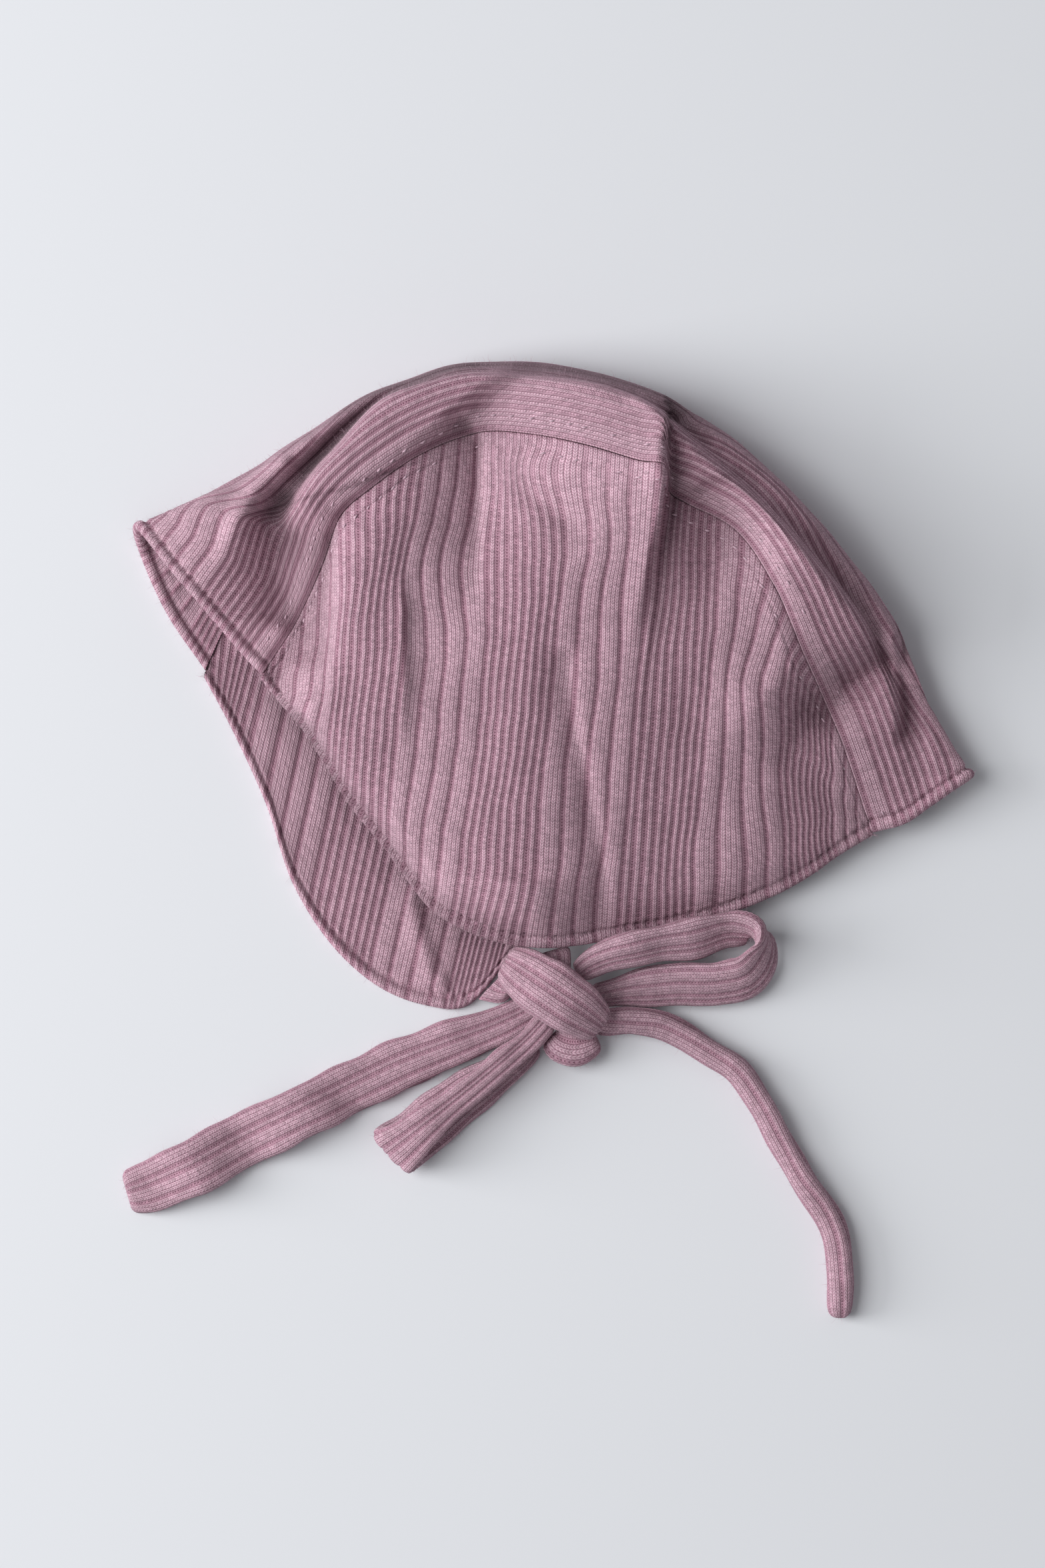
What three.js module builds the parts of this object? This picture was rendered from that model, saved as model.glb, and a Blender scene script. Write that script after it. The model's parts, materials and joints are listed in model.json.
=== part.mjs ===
// A rib-knit baby bonnet in the aviator cut, lying on its side with its two ties in a bow.
// Millimetres, +Z up, and z = 0 is the surface that it lies on.
// +X runs from the forehead to the nape and +Y from the ear flaps to the crown.
import * as THREE from 'three';

// Driving sizes of the knit
const WALL = 1.6;
const HEM_WALL = 2.8;
const HEM_WIDTH = 3.6;
const SEAM_GAP = 1.3;

// How far the upper panel swells just above its hem, and how wide a fold's step is
const HEM_FULLNESS = 2.2;
const STEP_WIDTH = 1.8;

// Main ribs: the groove beside each one, and the shares of a rib at which it is sampled
const RIB_PITCH = 5;
const RIB_DEPTH = 0.45;
const RIB_SAMPLES = [0, 0.3, 0.7];
const HIDDEN_RIB_SAMPLES = [0, 0.5];
const BAND_RIBS = 10;
const BAND_STEPS = 25;
const NEAR_STEPS = 7;
const FAR_STEPS = 3;

// Middle of the bonnet's outline in plan, without the free ends of the ties: the origin goes below it
const BASE_CENTRE = [-0.31, 0.38];

// Ties
const TIE_SIDES = 10;
const TIE_STEP = 4.2;

// Finish of the knit
const MAUVE = 0xb0909c;
const KNIT_ROUGHNESS = 0.95;

// Upper side panel: a row for each rib line from the forehead corner to the nape corner.
// seam is on the crown seam, mid halfway down the rib, hem on the edge of the turned hem.
const NEAR_ROWS = [
  { seam: [-67, 21.4, 12], mid: [-67.2, 21, 11.9], hem: [-67.4, 20.6, 11.8] },
  { seam: [-59, 34, 10.8], mid: [-60.5, 24, 11.6], hem: [-62, 14, 11.5] },
  { seam: [-53, 47, 12], mid: [-54, 28, 14.8], hem: [-57.5, 9, 11.5] },
  { seam: [-48.5, 58, 22.5], mid: [-49, 29.5, 21.5], hem: [-52, 0, 11] },
  { seam: [-41.5, 64, 27.5], mid: [-43.5, 28.5, 23.6], hem: [-47.5, -7.5, 10.5] },
  { seam: [-29.5, 72, 29.5], mid: [-34.5, 29.5, 25.3], hem: [-38.5, -19, 10] },
  { seam: [-17, 76.5, 30.5], mid: [-20, 22, 26], hem: [-27, -33.5, 9.5] },
  { seam: [-5, 76, 30], mid: [-6, 19, 26.5], hem: [-14, -39, 10] },
  { seam: [7.5, 73.5, 29.5], mid: [4.5, 17.5, 25.5], hem: [-1, -40.3, 10.4] },
  { seam: [19.5, 70, 29], mid: [15.5, 14, 24.5], hem: [11, -39.3, 7.6] },
  { seam: [25, 69, 30.2], mid: [19.6, 14, 24.1], hem: [15.6, -38.8, 7] },
  { seam: [26.4, 62.8, 26.8], mid: [21, 14, 23.7], hem: [17.2, -38.6, 6.8] },
  { seam: [30, 60.5, 26.4], mid: [26.5, 14, 23], hem: [24, -37.5, 6] },
  { seam: [41, 54.5, 23.8], mid: [38, 14, 21.6], hem: [35, -35, 5.6] },
  { seam: [50, 41.5, 21.5], mid: [45, 11, 20], hem: [45.5, -31.5, 5.6] },
  { seam: [57, 25.5, 18.5], mid: [54.5, 5, 16.5], hem: [56, -26.5, 5.8] },
  { seam: [64.5, 9.5, 14], mid: [64, -4, 11.5], hem: [65.5, -20, 6] },
  { seam: [73, -14.9, 6.4], mid: [73.3, -15.5, 6.2], hem: [73.6, -16, 6] },
];

// Crown band: a row for each cut across it, level with the rows above.
// crest is the ridge beside the seam and edge the outline seen from above.
// valley and outer lie between those two: their share of the way, and their height.
// belly is how far the layer below stands out from a straight line to the lower seam.
const BAND_ROWS = [
  { crest: [-72, 26.6, 11.5], valley: [0.26, 11.4], outer: [0.62, 11.2], edge: [-96.75, 55.5, 6.4], belly: 2.4 },
  { crest: [-64, 41.5, 11.2], valley: [0.24, 12.8], outer: [0.56, 15], edge: [-90.5, 58.5, 7.4], belly: 1.2 },
  { crest: [-61, 51.5, 13], valley: [0.24, 13.6], outer: [0.55, 17.6], edge: [-84.5, 61, 8.4], belly: 0.4 },
  { crest: [-58.5, 59, 24], valley: [0.26, 12.6], outer: [0.6, 19.2], edge: [-76, 65, 9.2], belly: 0 },
  { crest: [-50, 70.5, 28.4], valley: [0.3, 14.5], outer: [0.68, 19.5], edge: [-62, 73.5, 9.4], belly: 0 },
  { crest: [-37, 84, 29.5], valley: [0.36, 18.5], outer: [0.74, 18], edge: [-41.5, 86, 9], belly: 0 },
  { crest: [-20, 88.5, 30], valley: [0.4, 23], outer: [0.76, 17], edge: [-21.5, 92.5, 9], belly: 0 },
  { crest: [-5, 88, 30.5], valley: [0.4, 23], outer: [0.76, 17], edge: [-4.5, 93, 9], belly: 0 },
  { crest: [9, 86.5, 30], valley: [0.4, 22], outer: [0.76, 17.5], edge: [11.5, 90, 9], belly: 0 },
  { crest: [21, 82.5, 28], valley: [0.36, 19], outer: [0.76, 18], edge: [26, 85, 9], belly: 0 },
  { crest: [24.5, 79.8, 28], valley: [0.34, 18.5], outer: [0.75, 18], edge: [31, 81.8, 9], belly: 0 },
  { crest: [27, 77.4, 27.6], valley: [0.36, 20.5], outer: [0.76, 18.8], edge: [34.2, 79.9, 9], belly: 0 },
  { crest: [34.5, 69.5, 27], valley: [0.38, 20.8], outer: [0.76, 19], edge: [42.5, 74.5, 9], belly: 0 },
  { crest: [45.5, 60, 27.4], valley: [0.34, 18], outer: [0.75, 19], edge: [53.5, 64, 9], belly: 0 },
  { crest: [58.5, 46.5, 26.6], valley: [0.3, 14.5], outer: [0.74, 18], edge: [66.5, 49.5, 8.5], belly: 0 },
  { crest: [69, 33.5, 22.6], valley: [0.32, 12], outer: [0.74, 15], edge: [77.5, 34.5, 7.5], belly: 0 },
  { crest: [76.5, 15, 13], valley: [0.4, 9], outer: [0.75, 10], edge: [86.5, 14, 7], belly: 0 },
  { crest: [80.5, -12.8, 7.4], valley: [0.35, 8], outer: [0.7, 8.4], edge: [96.25, -2, 6.6], belly: 0 },
];

// Lower side panel, flat on the surface: the same rib lines, seen from inside at the front.
const FAR_ROWS = [
  { seam: [-80.4, 22.6], hem: [-80.6, 20.9] },
  { seam: [-74.5, 35], hem: [-74.5, 9.5] },
  { seam: [-66, 47], hem: [-66.5, -8] },
  { seam: [-55.5, 59], hem: [-60, -27] },
  { seam: [-44, 67], hem: [-50.5, -41.5] },
  { seam: [-31, 73.5], hem: [-40, -50.5] },
  { seam: [-17, 76.5], hem: [-29.5, -54.5] },
  { seam: [-5, 77], hem: [-20.5, -54.8] },
  { seam: [7.5, 75], hem: [-7, -41] },
  { seam: [19.5, 70], hem: [11, -36.5] },
  { seam: [24, 67], hem: [16, -35.3] },
  { seam: [27, 64.5], hem: [19.5, -34.5] },
  { seam: [31, 61], hem: [27, -33] },
  { seam: [41.5, 50], hem: [42.5, -28] },
  { seam: [52, 37], hem: [56, -21.5] },
  { seam: [62, 21], hem: [65.5, -17] },
  { seam: [69.5, 6.5], hem: [70.5, -15] },
  { seam: [75.5, -8], hem: [76, -12] },
];

// Folds and dents of the cloth on top. line is the fold's run in plan.
// front and nape: the height beside the line (dents are negative) and how far it reaches,
// on the left of the run and on its right. Where the two heights differ, the cloth steps at the line.
// full is the share of the line at which the fold has its height, fades the share where it starts to end.
// bend is 1 for straight sloping sides and 2 for round ones.
const FOLDS = [
  {
    name: 'crown pleat',
    line: [[25.7, 74], [25.2, 60], [21.5, 42], [17, 22]],
    front: [1.2, 6], nape: [-3.6, 12], full: 0, fades: 0.45, bend: 1.6,
  },
  {
    name: 'crown crease',
    line: [[-23, 83], [-19.4, 78.5], [-16.6, 74], [-16.8, 60], [-17, 46], [-16.5, 30]],
    front: [-6, 17], nape: [1.5, 9], full: 0.2, fades: 0.6, bend: 1.1,
  },
  {
    name: 'long crease',
    line: [[3.8, 28.5], [3.05, 18.8], [7.3, -1], [11.3, -19.8], [12.2, -36]],
    front: [-2.2, 5], nape: [-0.7, 1.8], full: 0.1, fades: 1, bend: 1.2,
  },
  {
    name: 'hollow beyond the pleat',
    line: [[33, 66], [36, 57], [35.5, 45], [33, 34]],
    front: [-2.4, 7], nape: [-2.4, 5], full: 0.1, fades: 0.5, bend: 1.6,
  },
  {
    name: 'wave beside the crown crease',
    line: [[-34, 48], [-33.5, 25], [-34, 2]],
    front: [1, 9], nape: [-1, 9], full: 0.3, fades: 0.6, bend: 1.6,
  },
  {
    name: 'pucker below the seam',
    line: [[-5.6, 62.3], [0, 58], [5.5, 53.9]],
    front: [-1.3, 3], nape: [-1.1, 3.2], full: 0, fades: 1, bend: 1.6,
  },
  {
    name: 'front dimple',
    line: [[-50.5, 53.5], [-48.5, 50]],
    front: [-1.6, 3], nape: [-1.6, 3], full: 0, fades: 1, bend: 1.6,
  },
  {
    name: 'front hollow',
    line: [[-73.6, 63.8], [-76.6, 54.7], [-80.2, 44.7]],
    front: [-2.4, 4.5], nape: [-2.4, 4], full: 0, fades: 0.7, bend: 1.6,
  },
  {
    name: 'ridge rope',
    line: [[19.5, 84.2], [25, 80.4], [28.7, 75.4], [34.8, 69], [47.3, 60.5], [61.2, 42], [68.4, 33]],
    front: [2, 2], nape: [2, 2], full: 0, fades: 0.7, bend: 1.6,
  },
  {
    name: 'nape swell',
    line: [[50.4, 44.7], [51.8, 34], [51.9, 23.4], [46.3, 18], [41.7, 11.6], [34, 4]],
    front: [2.8, 8], nape: [2.8, 4.5], full: 0, fades: 0.6, bend: 1.6,
  },
  {
    name: 'hollow beside the swell',
    line: [[50.5, 14], [49.5, 6], [47, -3]],
    front: [-2.4, 4.5], nape: [-2.4, 5], full: 0, fades: 0.5, bend: 1.6,
  },
  {
    name: 'nape dent',
    line: [[57.5, 17], [61, 20.5], [66, 22]],
    front: [-3.2, 4.5], nape: [-3.2, 4.5], full: 0, fades: 1, bend: 1.6,
  },
  {
    name: "dip under the ridge's nose",
    line: [[67.5, 20], [71.5, 20.5], [75, 23]],
    front: [-2.2, 3], nape: [-2.2, 3], full: 0, fades: 1, bend: 1.6,
  },
  {
    name: 'nape fold',
    line: [[78.5, 30], [79, 22], [79.6, 14], [78.6, 4]],
    front: [1.8, 5], nape: [-3.8, 5.5], full: 0, fades: 0.8, bend: 1.2,
  },
  {
    name: 'gathers over the tie',
    line: [[-17, -32], [-5, -33], [7, -29]],
    front: [2.2, 6], nape: [2.2, 6], full: 0, fades: 1, bend: 1.6,
  },
];

// Ties: a row for each station along one. tilt lifts the side on the left of its run, in degrees.
const STRAPS = {
  tie_root_far: [
    { at: [-12.8, -48.9, 1.7], width: 14.5, thick: 2.4 },
    { at: [-11.6, -50, 2.7], width: 9.5, thick: 2.8 },
    { at: [-9.6, -51, 3.9], width: 5, thick: 2.8 },
  ],
  tie_root_near: [
    { at: [0.4, -41, 8.9], width: 6.8, thick: 2.2 },
    { at: [0.3, -43.6, 7], width: 6.8, thick: 2.4 },
    { at: [0, -47, 5.8], width: 6.8, thick: 2.8 },
    { at: [0.2, -50, 5.6], width: 6.6, thick: 3 },
  ],
  bow_knot: [
    { at: [-10.8, -44.4, 6.4], width: 7.5, thick: 3.4 },
    { at: [-9, -45.6, 8.4], width: 11, thick: 4.6 },
    { at: [-5.4, -48, 11], width: 13.4, thick: 5.8 },
    { at: [0.4, -52, 12.2], width: 14, thick: 7 },
    { at: [5.4, -55.6, 11], width: 13.6, thick: 6 },
    { at: [9, -58.2, 8.6], width: 11.5, thick: 4.6 },
    { at: [10.8, -59.6, 6.9], width: 8, thick: 3.4 },
  ],
  bow_wrap_lower: [
    { at: [0.8, -62.8, 4.2], width: 5.2, thick: 3.2 },
    { at: [2.4, -64.4, 4.5], width: 8, thick: 4.8 },
    { at: [5.6, -65.7, 4.3], width: 8.6, thick: 5.4 },
    { at: [9.2, -64.7, 3.6], width: 6.8, thick: 4.6 },
    { at: [11.4, -63.4, 3.2], width: 4.2, thick: 3 },
  ],
  bow_loop_right: [
    { at: [5.8, -48.4, 5.8], tilt: 4, width: 5, thick: 2.8 },
    { at: [8.4, -45.8, 7.4], tilt: 10, width: 7.4, thick: 3 },
    { at: [12.4, -43, 9], tilt: 20, width: 9, thick: 3.2 },
    { at: [19, -40.8, 9.8], tilt: 30, width: 9.8, thick: 3.2 },
    { at: [31.5, -39, 8.8], tilt: 32, width: 10.8, thick: 3.2 },
    { at: [41, -36.8, 7.8], tilt: 42, width: 11, thick: 3.2 },
    { at: [45.8, -36.8, 7.4], tilt: 68, width: 11, thick: 3.2 },
    { at: [48, -39.6, 7], tilt: 108, width: 11.2, thick: 3.2 },
    { at: [47.2, -43.6, 6.6], tilt: 134, width: 11.6, thick: 3.2 },
    { at: [43.8, -47.6, 6], tilt: 143, width: 11.6, thick: 3.2 },
    { at: [37.6, -49.4, 5.4], tilt: 149, width: 11.4, thick: 3.2 },
    { at: [29, -49.6, 4.7], tilt: 155, width: 10.6, thick: 3.2 },
    { at: [20, -50.4, 3.9], tilt: 162, width: 9, thick: 3.2 },
    { at: [12.8, -51.8, 2.8], tilt: 170, width: 6.6, thick: 2.6 },
    { at: [8.6, -52.8, 2.2], tilt: 176, width: 5.4, thick: 2.4 },
  ],
  bow_loop_left: [
    { at: [-1.6, -57.6, 5.6], width: 5.2, thick: 2.6 },
    { at: [-6, -62.4, 6.4], width: 5.8, thick: 2.8 },
    { at: [-14, -69.4, 7.2], width: 6.2, thick: 3 },
    { at: [-22, -76, 7.4], width: 6.8, thick: 3 },
    { at: [-29.4, -82, 7.2], width: 8.8, thick: 3 },
    { at: [-34.4, -86.2, 6.6], width: 11.6, thick: 3 },
    { at: [-36.8, -88.1, 4.4], width: 12.8, thick: 3 },
    { at: [-34.8, -86.6, 2.1], width: 12.8, thick: 3 },
    { at: [-29.6, -82.4, 1.7], width: 12.6, thick: 3 },
    { at: [-22, -76.4, 1.6], width: 11.6, thick: 3 },
    { at: [-14, -70.2, 1.6], width: 9.8, thick: 3 },
    { at: [-7.6, -65.4, 1.6], width: 7.4, thick: 2.8 },
    { at: [-4.8, -63.2, 1.7], width: 5.4, thick: 2.6 },
  ],
  tie_tail_left: [
    { at: [-3.6, -54.6, 2.4], width: 6.8, thick: 2.8 },
    { at: [-8, -56.9, 2.4], width: 8, thick: 3 },
    { at: [-14, -59.7, 2.6], width: 9, thick: 3.2 },
    { at: [-24, -63.5, 2.4], width: 10.6, thick: 3.4 },
    { at: [-35.5, -68, 1.8], width: 11.8, thick: 3.4 },
    { at: [-47.5, -73.8, 2], width: 12, thick: 3.4 },
    { at: [-59.5, -79.6, 4], width: 12.2, thick: 3.4 },
    { at: [-71.5, -85.6, 1.9], width: 12.6, thick: 3.4 },
    { at: [-83, -91.8, 3.8], width: 13, thick: 3.4 },
    { at: [-94, -96.6, 1.8], width: 11.6, thick: 3.2 },
    { at: [-98.4, -97.6, 1.6], width: 6.4, thick: 2.6 },
  ],
  tie_tail_right: [
    { at: [9, -58.2, 2.6], tilt: 8, width: 5.2, thick: 2.6 },
    { at: [12.6, -58.6, 3.2], tilt: 24, width: 6.6, thick: 3.2 },
    { at: [18, -58.2, 3.4], tilt: 30, width: 6.6, thick: 4.4 },
    { at: [24, -58.8, 3.2], tilt: 26, width: 6.4, thick: 4.8 },
    { at: [29.4, -61.4, 3], tilt: 20, width: 6.2, thick: 5 },
    { at: [36, -65.4, 3], tilt: 16, width: 6, thick: 5 },
    { at: [42.2, -69.8, 3], tilt: 16, width: 6, thick: 5 },
    { at: [47.4, -77.2, 3], tilt: 16, width: 6, thick: 5 },
    { at: [51.6, -85, 3], tilt: 16, width: 6, thick: 5 },
    { at: [56, -93.4, 3], tilt: 16, width: 6, thick: 5 },
    { at: [61.6, -101, 3], tilt: 16, width: 6.2, thick: 5 },
    { at: [64.6, -108, 3], tilt: 16, width: 6.2, thick: 5 },
    { at: [65.6, -116.5, 2.9], tilt: 14, width: 6, thick: 4.8 },
    { at: [65.8, -123.5, 2.6], tilt: 10, width: 5.6, thick: 4.4 },
    { at: [65.7, -126.4, 2.2], tilt: 6, width: 4.2, thick: 3.4 },
  ],
};

const vector = (p) => new THREE.Vector3(p[0], p[1], p[2] ?? 0);
const clamp01 = (x) => Math.min(1, Math.max(0, x));
const smooth = (x) => clamp01(x) ** 2 * (3 - 2 * clamp01(x));

// A smooth line through one column of a table, and its point at a share of the rows.
function track(points) {
  return new THREE.CatmullRomCurve3(points.map(vector));
}

function column(rows, name) {
  return track(rows.map((row) => row[name]));
}

// Groove of the main ribs at a place that is counted in ribs.
function ribGroove(ribs) {
  const share = ribs - Math.floor(ribs);
  const fromGroove = Math.min(share, 1 - share);
  return -RIB_DEPTH * (1 - smooth(fromGroove / 0.28));
}

// Places of the samples across a cloth that holds a whole number of ribs.
function ribPlaces(count, samples) {
  const places = [];
  for (let rib = 0; rib < count; rib += 1) {
    samples.forEach((share) => places.push((rib + share) / count));
  }
  places.push(1);
  return places;
}

// Nearest point of a fold's line to a place in plan: how far, on which side, how far along.
function measureFold(line, x, y) {
  let best = { away: Infinity, side: 1, along: 0 };
  for (let i = 0; i + 1 < line.length; i += 1) {
    const [ax, ay] = line[i];
    const [bx, by] = line[i + 1];
    const length2 = (bx - ax) ** 2 + (by - ay) ** 2;
    const share = clamp01(((x - ax) * (bx - ax) + (y - ay) * (by - ay)) / length2);
    const dx = x - ax - share * (bx - ax);
    const dy = y - ay - share * (by - ay);
    const away = Math.hypot(dx, dy);
    if (away < best.away) {
      const side = Math.sign((bx - ax) * dy - (by - ay) * dx) || 1;
      best = { away, side, along: (i + share) / (line.length - 1) };
    }
  }
  return best;
}

// Height that the folds add at a place in plan.
function foldHeight(x, y) {
  let height = 0;
  FOLDS.forEach(({ line, front, nape, full, fades, bend }) => {
    const { away, side, along } = measureFold(line, x, y);
    const over = smooth(0.5 + (away * side) / STEP_WIDTH);
    const grown = full > 0 ? smooth(along / full) : 1;
    const left = fades < 1 ? 1 - smooth((along - fades) / (1.001 - fades)) : 1;
    const frontSide = front[0] * Math.exp(-((away / front[1]) ** bend)) * (1 - over);
    const napeSide = nape[0] * Math.exp(-((away / nape[1]) ** bend)) * over;
    height += grown * left * (frontSide + napeSide);
  });
  return height;
}

const nearSeam = column(NEAR_ROWS, 'seam');
const nearMid = column(NEAR_ROWS, 'mid');
const nearHem = column(NEAR_ROWS, 'hem');

// Upper panel: down is 0 at the crown seam and 1 at the hem's edge.
function nearPoint(share, down) {
  const point = nearSeam.getPoint(share).multiplyScalar((1 - down) * (1 - 2 * down));
  point.addScaledVector(nearMid.getPoint(share), 4 * down * (1 - down));
  point.addScaledVector(nearHem.getPoint(share), down * (2 * down - 1));
  const aboveHem = 1 - down;
  const full = smooth(aboveHem / 0.09) * (1 - smooth((aboveHem - 0.09) / 0.4));
  point.z += HEM_FULLNESS * full * smooth(share * 7) * smooth((1 - share) * 5);
  point.z += foldHeight(point.x, point.y) * smooth(aboveHem / 0.1);
  return point;
}

const bandCrest = column(BAND_ROWS, 'crest');
const bandEdge = column(BAND_ROWS, 'edge');
const bandValley = track(BAND_ROWS.map((row) => [row.valley[0], 0, row.valley[1]]));
const bandOuter = track(BAND_ROWS.map((row) => [row.outer[0], 0, row.outer[1]]));
const bandBelly = track(BAND_ROWS.map((row) => [row.belly, 0, 0]));
const farSeam = column(FAR_ROWS, 'seam');
const farHem = column(FAR_ROWS, 'hem');

// Cut across the crown band, from the upper seam over the ridges and the outline to the lower seam.
function bandCut(share) {
  const seam = nearSeam.getPoint(share);
  const crest = bandCrest.getPoint(share);
  const edge = bandEdge.getPoint(share);
  const far = farSeam.getPoint(share);
  const between = (along, height) => {
    const point = crest.clone().lerp(edge, along);
    point.z = height;
    return point;
  };
  const valley = bandValley.getPoint(share);
  const outer = bandOuter.getPoint(share);
  const under = edge.clone().lerp(far, Math.min(0.35, edge.z / edge.distanceTo(far)));
  const middle = edge.clone().lerp(far, 0.6);
  middle.x -= bandBelly.getPoint(share).x;
  under.x -= bandBelly.getPoint(share).x * 0.7;
  under.z = 0;
  middle.z = 0;
  const ridges = [seam, crest, between(valley.x, valley.z), between(outer.x, outer.z)];
  const stations = [...ridges, edge, under, middle, far];
  return new THREE.CatmullRomCurve3(stations);
}

// Closed body between a grid of outer points and the matching grid of inner points.
function wallGeometry(outer, inner) {
  const lines = outer.length;
  const places = outer[0].length;
  const positions = [...outer.flat(), ...inner.flat()].flatMap((p) => [p.x, p.y, p.z]);
  const at = (i, j) => i * places + j;
  const back = lines * places;
  const faces = [];
  const quad = (a, b, c, d) => faces.push(a, b, c, a, c, d);
  for (let i = 0; i + 1 < lines; i += 1) {
    for (let j = 0; j + 1 < places; j += 1) {
      quad(at(i, j), at(i + 1, j), at(i + 1, j + 1), at(i, j + 1));
      quad(back + at(i, j), back + at(i, j + 1), back + at(i + 1, j + 1), back + at(i + 1, j));
    }
    const last = places - 1;
    quad(at(i + 1, 0), at(i, 0), back + at(i, 0), back + at(i + 1, 0));
    quad(at(i, last), at(i + 1, last), back + at(i + 1, last), back + at(i, last));
  }
  for (let j = 0; j + 1 < places; j += 1) {
    const last = lines - 1;
    quad(at(0, j), at(0, j + 1), back + at(0, j + 1), back + at(0, j));
    quad(at(last, j + 1), at(last, j), back + at(last, j), back + at(last, j + 1));
  }
  return outwardGeometry(positions, faces);
}

// Geometry whose faces point out: the order of the corners is turned if the volume comes out negative.
function outwardGeometry(positions, faces) {
  const corner = (i) => new THREE.Vector3().fromArray(positions, faces[i] * 3);
  let volume = 0;
  for (let i = 0; i < faces.length; i += 3) {
    volume += corner(i).dot(corner(i + 1).cross(corner(i + 2))) / 6;
  }
  const turned = volume < 0 ? [...faces].reverse() : faces;
  const geometry = new THREE.BufferGeometry();
  geometry.setAttribute('position', new THREE.Float32BufferAttribute(positions, 3));
  geometry.setIndex(turned);
  geometry.computeVertexNormals();
  return geometry;
}

// Unit normals of a grid of points, each averaged with its neighbours so that the inner wall stays even.
function gridNormals(grid) {
  const lines = grid.length;
  const places = grid[0].length;
  const raw = grid.map((line, i) => line.map((_, j) => {
    const along = grid[Math.min(i + 1, lines - 1)][j].clone().sub(grid[Math.max(i - 1, 0)][j]);
    const across = grid[i][Math.min(j + 1, places - 1)].clone().sub(grid[i][Math.max(j - 1, 0)]);
    return along.cross(across).normalize();
  }));
  return raw.map((line, i) => line.map((_, j) => {
    const sum = new THREE.Vector3();
    for (let di = -1; di <= 1; di += 1) {
      for (let dj = -1; dj <= 1; dj += 1) {
        const near = raw[Math.min(Math.max(i + di, 0), lines - 1)];
        sum.add(near[Math.min(Math.max(j + dj, 0), places - 1)]);
      }
    }
    return sum.normalize();
  }));
}

// Thickness of a hem at a distance from the cloth's edge: a groove at its stitches, a roll outside them.
function hemSwell(fromEdge) {
  if (fromEdge > HEM_WIDTH) {
    return 0;
  }
  return Math.sin(Math.PI * clamp01(fromEdge / HEM_WIDTH) * 0.9 + 0.31) * (HEM_WALL - WALL);
}

// Shares down a cloth of some length: even steps, and two more inside the hem.
function downPlaces(length, steps) {
  const hem = Math.min(0.4, HEM_WIDTH / length);
  const places = [];
  for (let i = 0; i <= steps; i += 1) {
    places.push((1 - hem) * (i / steps));
  }
  places.push(1 - hem * 0.5, 1);
  return places;
}

// Shares of the rows at which a cloth has whole ribs, counted along its middle.
function ribShares(pointAt, samples) {
  const probe = 400;
  const lengths = [0];
  for (let i = 1; i <= probe; i += 1) {
    lengths.push(lengths[i - 1] + pointAt(i / probe).distanceTo(pointAt((i - 1) / probe)));
  }
  const count = Math.round(lengths[probe] / RIB_PITCH);
  const shares = ribPlaces(count, samples).map((place) => {
    const target = place * lengths[probe];
    const after = Math.max(1, lengths.findIndex((length) => length >= target - 1e-9));
    const part = (target - lengths[after - 1]) / (lengths[after] - lengths[after - 1]);
    return { share: (after - 1 + part) / probe, ribs: place * count };
  });
  return shares;
}

// Upper side panel with its ribs, folds and turned hem.
function nearPanel() {
  const lines = ribShares((share) => nearPoint(share, 0.5), RIB_SAMPLES);
  const lengthAt = (share) => nearSeam.getPoint(share).distanceTo(nearHem.getPoint(share));
  const places = lines.map(({ share }) => downPlaces(lengthAt(share), NEAR_STEPS));
  const grid = lines.map(({ share }, i) => places[i].map((down) => {
    const start = SEAM_GAP / 2 / lengthAt(share);
    return nearPoint(share, start + down * (1 - start));
  }));
  const normals = gridNormals(grid);
  const seams = lines.map(({ share }) => seamNormal(share));
  const outer = grid.map((line, i) => line.map((point, j) => {
    const length = lengthAt(lines[i].share);
    const swell = hemSwell((1 - places[i][j]) * length);
    const calm = smooth((1 - places[i][j]) * length / 6) * smooth(places[i][j] * length / 5);
    const towards = normals[i][j].z < 0 ? normals[i][j].clone().negate() : normals[i][j].clone();
    towards.lerp(seams[i], 1 - smooth(places[i][j] * length / 8)).normalize();
    const out = point.clone().addScaledVector(towards, ribGroove(lines[i].ribs) * calm + swell * 0.5);
    return { out, inside: point.clone().addScaledVector(towards, -WALL - swell * 0.5) };
  }));
  return wallGeometry(outer.map((l) => l.map((p) => p.out)), outer.map((l) => l.map((p) => p.inside)));
}

// Shared direction across the crown seam, so that the two cloths meet edge to edge.
function seamNormal(share) {
  const step = 0.004;
  const along = nearSeam.getPoint(Math.min(1, share + step));
  along.sub(nearSeam.getPoint(Math.max(0, share - step)));
  const across = bandCrest.getPoint(share).sub(nearPoint(share, 0.08));
  const normal = along.cross(across).normalize();
  return normal.z < 0 ? normal.negate() : normal;
}

// Shares along the band: even steps, and two more inside each hem.
function bandShares() {
  const steps = BAND_STEPS;
  const front = HEM_WIDTH / bandEdge.getPoint(0).distanceTo(bandEdge.getPoint(1 / steps)) / steps;
  const nape = HEM_WIDTH / bandEdge.getPoint(1).distanceTo(bandEdge.getPoint(1 - 1 / steps)) / steps;
  const shares = [0, front / 2];
  for (let i = 0; i <= steps; i += 1) {
    shares.push(front + (1 - front - nape) * (i / steps));
  }
  shares.push(1 - nape / 2, 1);
  return shares;
}

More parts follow.
